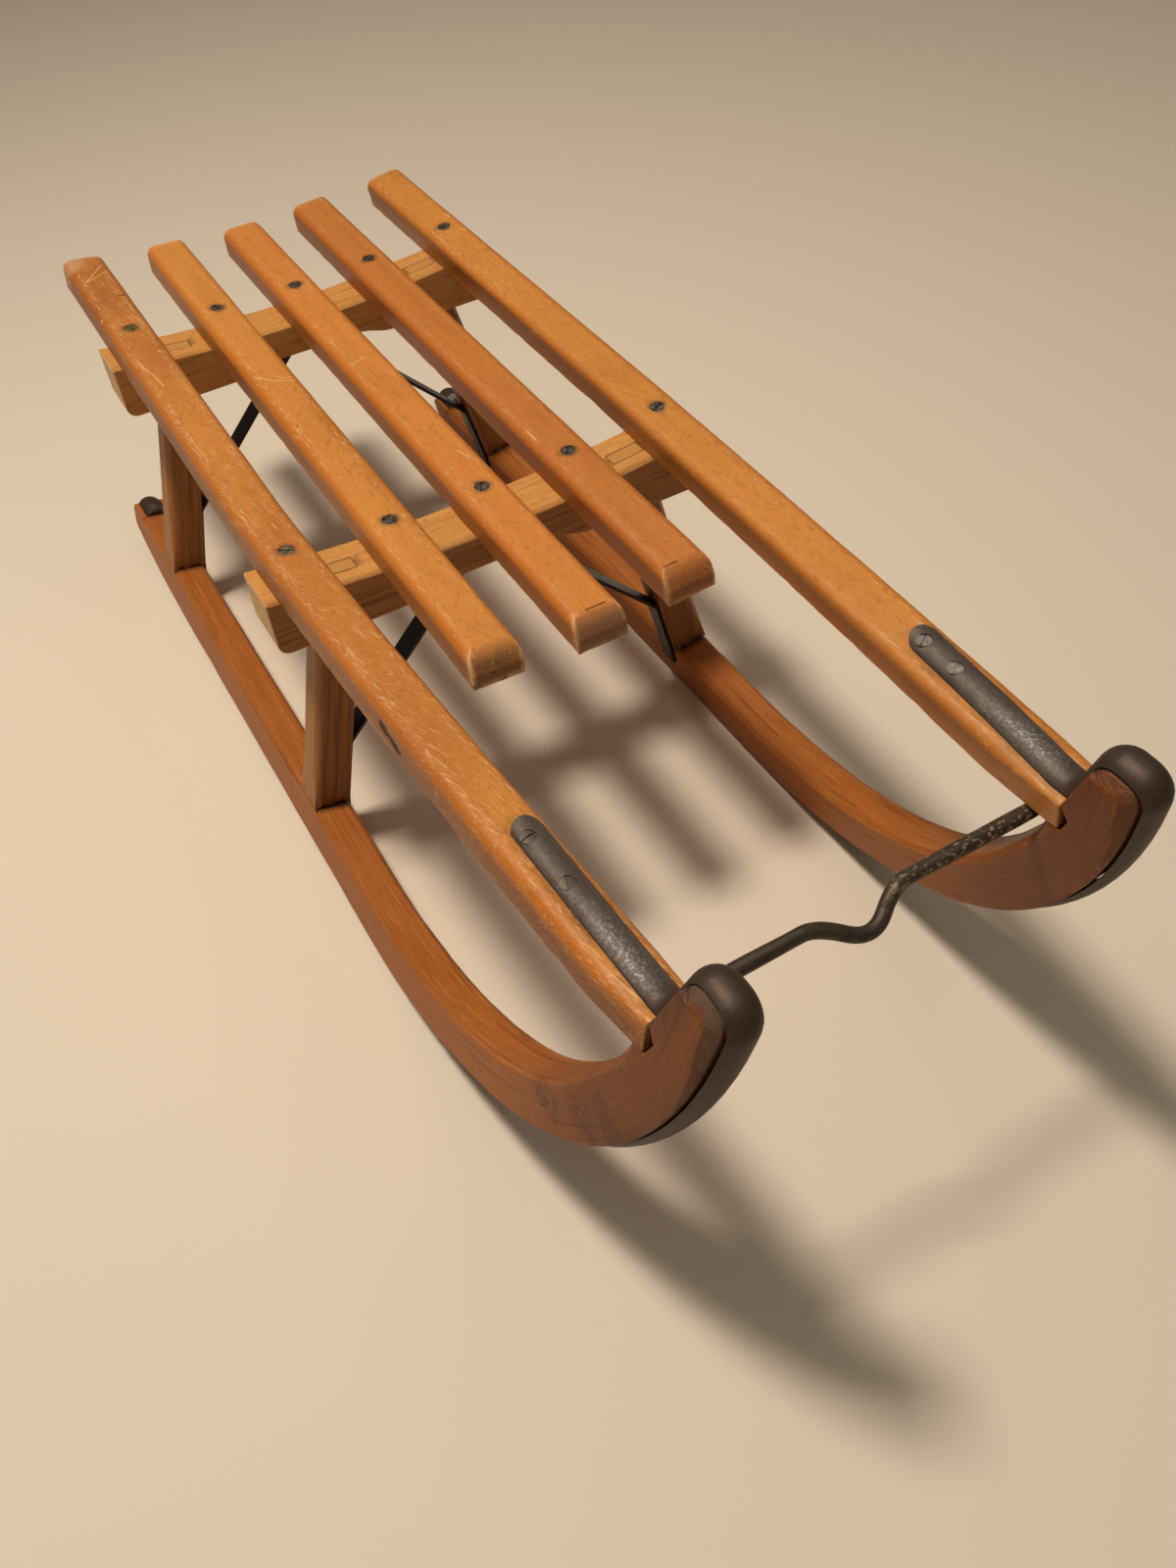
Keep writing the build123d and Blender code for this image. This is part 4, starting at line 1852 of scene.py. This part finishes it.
# Control points of the left half of the rod's middle line: out of the hole in
# the nose and across. The right half mirrors them. In between, the rod goes
# down and forward into the dip for the rope.
ROD_X = 434.19
ROD_Z = 266.49
ROD_END = (
    (454.69, 130.99, ROD_Z),
    (452.19, 130.99, ROD_Z),
    (ROD_X, 130.99, ROD_Z),
    (ROD_X, 112.99, ROD_Z),
)
ROD_ROUTE = (
    *((x, -y, z) for x, y, z in ROD_END),
    (ROD_X, -44.0, ROD_Z),
    (ROD_X, -26.0, ROD_Z),
    (449.6, 2.0, 251.08),
    (ROD_X, 24.0, ROD_Z),
    (ROD_X, 42.0, ROD_Z),
    *reversed(ROD_END),
)


@dataclass
class Irons:
    """The half-oval shoes under the runners and over the noses, and the tow rod.

    Args:
        strap_screws: X of the screws in each strap, and the angles of their slots.
        tongue_x: X of the screw in the tongue on a runner's tail.
        tongue_up: Height of the tongue over the runner's sole.
        tongue_turn: Angle of its slot.
        gap: Width of the dark line along the wood.
        strap_end: X at which the straps end and the noses start.
        strap_low: Height over which an iron is a strap.
        rub_low: Height over which a strap can be rubbed and carry the painted highlight.
        rub_start: X from which the straps are rubbed and carry the painted highlight.
        slope_step: How far to each side of a screw a strap's slope is taken.
        overhead: A height, in metres, from which rays go down to the straps.
        rod_round: Diameter of the rod.
        rod_swell: Height of the rod's unevenness.
        wear: How the shoes are rounded.
        plane: A runner's plane.
        bend: The bend of the outer slats under the straps.
        screws: The screws of the left shoe, with flat heads, and of the right
            shoe, filed flush with the iron.
    """

    frame: dict
    strap_screws: dict[Side, tuple[tuple[float, float], ...]] = field(
        default_factory=lambda: {
            Side.RIGHT: ((325.5, 100.0), (364.0, 160.0)),
            Side.LEFT: ((322.0, 122.0), (350.5, 20.0)),
        }
    )
    tongue_x: float = -453.8
    tongue_up: float = 46.9
    tongue_turn: float = 75.0
    gap: float = 1.6
    strap_end: float = 455.0
    strap_low: float = 280.0
    rub_low: float = 200.0
    rub_start: float = 355.0
    slope_step: float = 4.0
    overhead: float = 0.4
    rod_round: float = 9.2
    rod_swell: float = 0.35
    wear: Wear = Wear(0.4, (9.0, 9.0, 9.0), sharp=50)
    plane: LeaningPlane = LeaningPlane()
    bend: OuterBend = OuterBend()
    screws: dict[Side, Screw] = field(
        default_factory=lambda: {
            Side.LEFT: Screw(head=9.6, slot_wide=1.05, sunk=0.1, gap=0.13),
            Side.RIGHT: Screw(head=9.6, slot_wide=1.1, sunk=0.02, gap=0.06, crown=12.5),
        }
    )

    def build(self) -> None:
        """Make the shoes and the rod."""
        iron = SHOE_IRON.material()
        steel = {
            Side.LEFT: SCREW_STEEL.material(extra=(BRIGHT,), name="rubbed_steel_screws"),
            Side.RIGHT: SCREW_STEEL.material(extra=(DULL,), name="browned_steel_screws"),
        }
        for side in Side:
            shoe = Piece.copied(self.frame, f"iron_shoe_{side.word}", "shoe_iron")
            shoe.soften(self.wear)
            screws = self.holes(shoe, side)
            shoe.net(self.wear.net)
            wood = [f"runner_{side.word}", "slat_5" if side is Side.LEFT else "slat_1"]
            marks = {
                "rub": self.rubbed,
                "strap": self.strapped,
                "gap": Touching.nodes(self.frame, wood, self.gap),
            }
            shoe.made(iron, BentGrain(), marks)
            for name, at in screws.items():
                self.screws[side].build(f"{name}_{side.word}", at, steel[side])
        self.rod()

    def rod(self) -> None:
        """Draw the tow rod out along its route and bend it smoothly, as a smith does hot."""
        path = bpy.data.curves.new("rod_path", "CURVE")
        path.dimensions = "3D"
        path.resolution_u = 9
        path.bevel_depth = self.rod_round / 2 * MM
        path.bevel_resolution = 7
        path.use_fill_caps = True
        spline = path.splines.new("NURBS")
        spline.points.add(len(ROD_ROUTE) - 1)
        for knot, place in zip(spline.points, ROD_ROUTE):
            knot.co = (*(Vector(place) * MM), 1.0)
        spline.order_u = 3
        spline.use_endpoint_u = True
        shown = bpy.data.objects.new("rod_path", path)
        mesh = bpy.data.meshes.new_from_object(shown)
        piece = Piece(name="tow_rod_dressed", slot="rod_iron", nodes=("tow_rod",))
        piece.bm.from_mesh(mesh)
        bpy.data.objects.remove(shown)
        bpy.data.curves.remove(path)
        bpy.data.meshes.remove(mesh)
        piece.merge(0.01)
        bmesh.ops.recalc_face_normals(piece.bm, faces=piece.bm.faces)
        piece.weather(self.rod_swell, dent=0.0, seed=3.0)
        piece.made(ROD_IRON.material(), StraightGrain(LEFTWARD, UP), {"rub": self.specked})

    def holes(self, shoe: Piece, side: Side) -> dict[str, ScrewPlace]:
        """Countersink a shoe's strap and its tongue for their screws.

        Args:
            shoe: The shoe's mesh.
            side: The side that it is on.

        Returns:
            The place of each screw, by the first words of its name.
        """
        cutter = bmesh.new()
        screws = {}
        for number, (x, turn) in enumerate(self.strap_screws[side], start=1):
            steps = (-self.slope_step, 0.0, self.slope_step)
            before, here, after = (self.over(shoe, x + step, side) for step in steps)
            up = (after - before).cross(LEFTWARD).normalized()
            screws[f"strap_screw_{number}"] = ScrewPlace(here, up if up.z > 0 else -up, turn)
        tongue = self.plane.point(self.tongue_x, 0, self.tongue_up, side)
        up = (tongue - self.plane.point(self.tongue_x, 0, 0, side)).normalized()
        place = shoe.surface(tongue + UP * 0.05)
        screws["tongue_screw"] = ScrewPlace(place, up, self.tongue_turn)
        for at in screws.values():
            self.screws[side].hole(cutter, at)
        shoe.carve(cutter)
        return screws

    def over(self, shoe: Piece, x: float, side: Side) -> Vector:
        """Give the crown of the strap at a place along it."""
        middle, _ = self.bend.middle(np.array([x * MM]))
        return shoe.surface(Vector((x * MM, side.value * middle[0], self.overhead)))

    def strapped(self, points: np.ndarray) -> np.ndarray:
        """Give one on the straps over the slats, which are greyer than the rest."""
        return rise(-points[:, 0], -self.strap_end, 20) * (points[:, 2] > self.strap_low * MM)

    def rubbed(self, points: np.ndarray) -> np.ndarray:
        """Give one along the middle of the strap ahead of its screws, where hands rub and a
        highlight is painted.
        """
        x, y, z = points.T
        across = np.abs(np.abs(y) - self.bend.middle(x)[0])
        return rise(-across, -10.4, 8) * rise(x, self.rub_start, 25) * (z > self.rub_low * MM)

    def specked(self, points: np.ndarray) -> np.ndarray:
        """Give one on the top of the rod's left half, where old varnish sits."""
        return rise(points[:, 1], -10, 50) * np.where(points[:, 2] > ROD_Z * MM, 1.0, 0.4)


@dataclass
class Studio:
    """A pale floor, soft lamps from above and the camera of the photograph.

    Args:
        frame_high: Height of the camera's frame.
        lens: Its focal length.
        shift: Shift of the lens, in parts of the frame's height.
        spot: Place of the camera in metres.
        right: The camera's own X.
        up: The camera's own Y.
        back: The camera's own Z.
        aim: Place that the lamps shine on, in metres.
        key_way: Direction from the sled to the key lamp.
        key_far: Distance of the key lamp in metres.
        world_light: Strength of the even light from all round.
        floor_half: Half of the floor's side in metres.
    """

    frame_high: float = 36.0
    lens: float = 29.72
    shift: tuple[float, float] = (0.0118, 0.0064)
    spot: Place = (0.72539, -0.2940, 0.81972)
    right: Place = (0.494, 0.8667, -0.0684)
    up: Place = (-0.6324, 0.4122, 0.6559)
    back: Place = (0.5967, -0.2808, 0.7518)
    aim: Place = (0.05, 0, 0.2)
    key_way: Place = (-0.13, -0.24, 0.96)
    key_far: float = 2.4
    world_light: float = 0.1
    floor_half: float = 6.0

    def build(self) -> None:
        """Make the floor, the lamps, the world and the camera."""
        self.floor()
        key = Vector(self.aim) + Vector(self.key_way).normalized() * self.key_far
        self.lamp("key_lamp", key, size=0.36, power=48)
        self.lamp("ceiling_fill", Vector((0, 0, 2.9)), size=3.0, power=16)
        self.lamp("front_fill", Vector((2.2, -1.6, 1.5)), size=1.6, power=1)
        world = bpy.data.worlds.new("studio")
        bpy.context.scene.world = world
        world.use_nodes = True
        back = world.node_tree.nodes["Background"]
        back.inputs["Color"].default_value = linear("#F0E2D0")
        back.inputs["Strength"].default_value = self.world_light
        self.camera()
        bpy.context.scene.view_settings.view_transform = "Standard"

    def floor(self) -> None:
        """Make the plain floor."""
        bm = bmesh.new()
        bmesh.ops.create_grid(bm, x_segments=1, y_segments=1, size=self.floor_half)
        mesh = bpy.data.meshes.new("studio_floor")
        bm.to_mesh(mesh)
        bm.free()
        paint = bpy.data.materials.new("matt_floor_paint")
        paint.use_nodes = True
        shader = paint.node_tree.nodes["Principled BSDF"]
        shader.inputs["Base Color"].default_value = linear("#E6D8C5")
        shader.inputs["Roughness"].default_value = 0.8
        mesh.materials.append(paint)
        show("studio_floor", mesh)

    def lamp(self, name: str, place: Vector, size: float, power: float) -> None:
        """Hang one square lamp and turn it to the sled.

        Args:
            name: Name of the lamp.
            place: Its place in metres.
            size: Its side in metres.
            power: Its power in watts.
        """
        data = bpy.data.lights.new(name, "AREA")
        data.size = size
        data.energy = power
        data.color = linear("#FFF4E4")[:3]
        lamp = show(name, data)
        lamp.location = place
        lamp.rotation_mode = "QUATERNION"
        lamp.rotation_quaternion = (Vector(self.aim) - place).to_track_quat("-Z", "Y")

    def camera(self) -> None:
        """Set up the camera where the photograph was taken from."""
        data = bpy.data.cameras.new("photo_camera")
        data.lens = self.lens
        data.sensor_width = self.frame_high
        data.shift_x, data.shift_y = self.shift
        data.clip_start = 0.02
        camera = show("photo_camera", data)
        turn = Matrix((self.right, self.up, self.back)).transposed().to_4x4()
        camera.matrix_world = Matrix.Translation(self.spot) @ turn
        bpy.context.scene.camera = camera


def main() -> None:
    """Build the sled from its frame outwards."""
    logging.basicConfig(level=logging.INFO, format="%(message)s")
    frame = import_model()
    for part in (Runners(frame), Bridges(frame), Slats(frame), Irons(frame), Studio()):
        part.build()


if __name__ == "__main__":
    main()
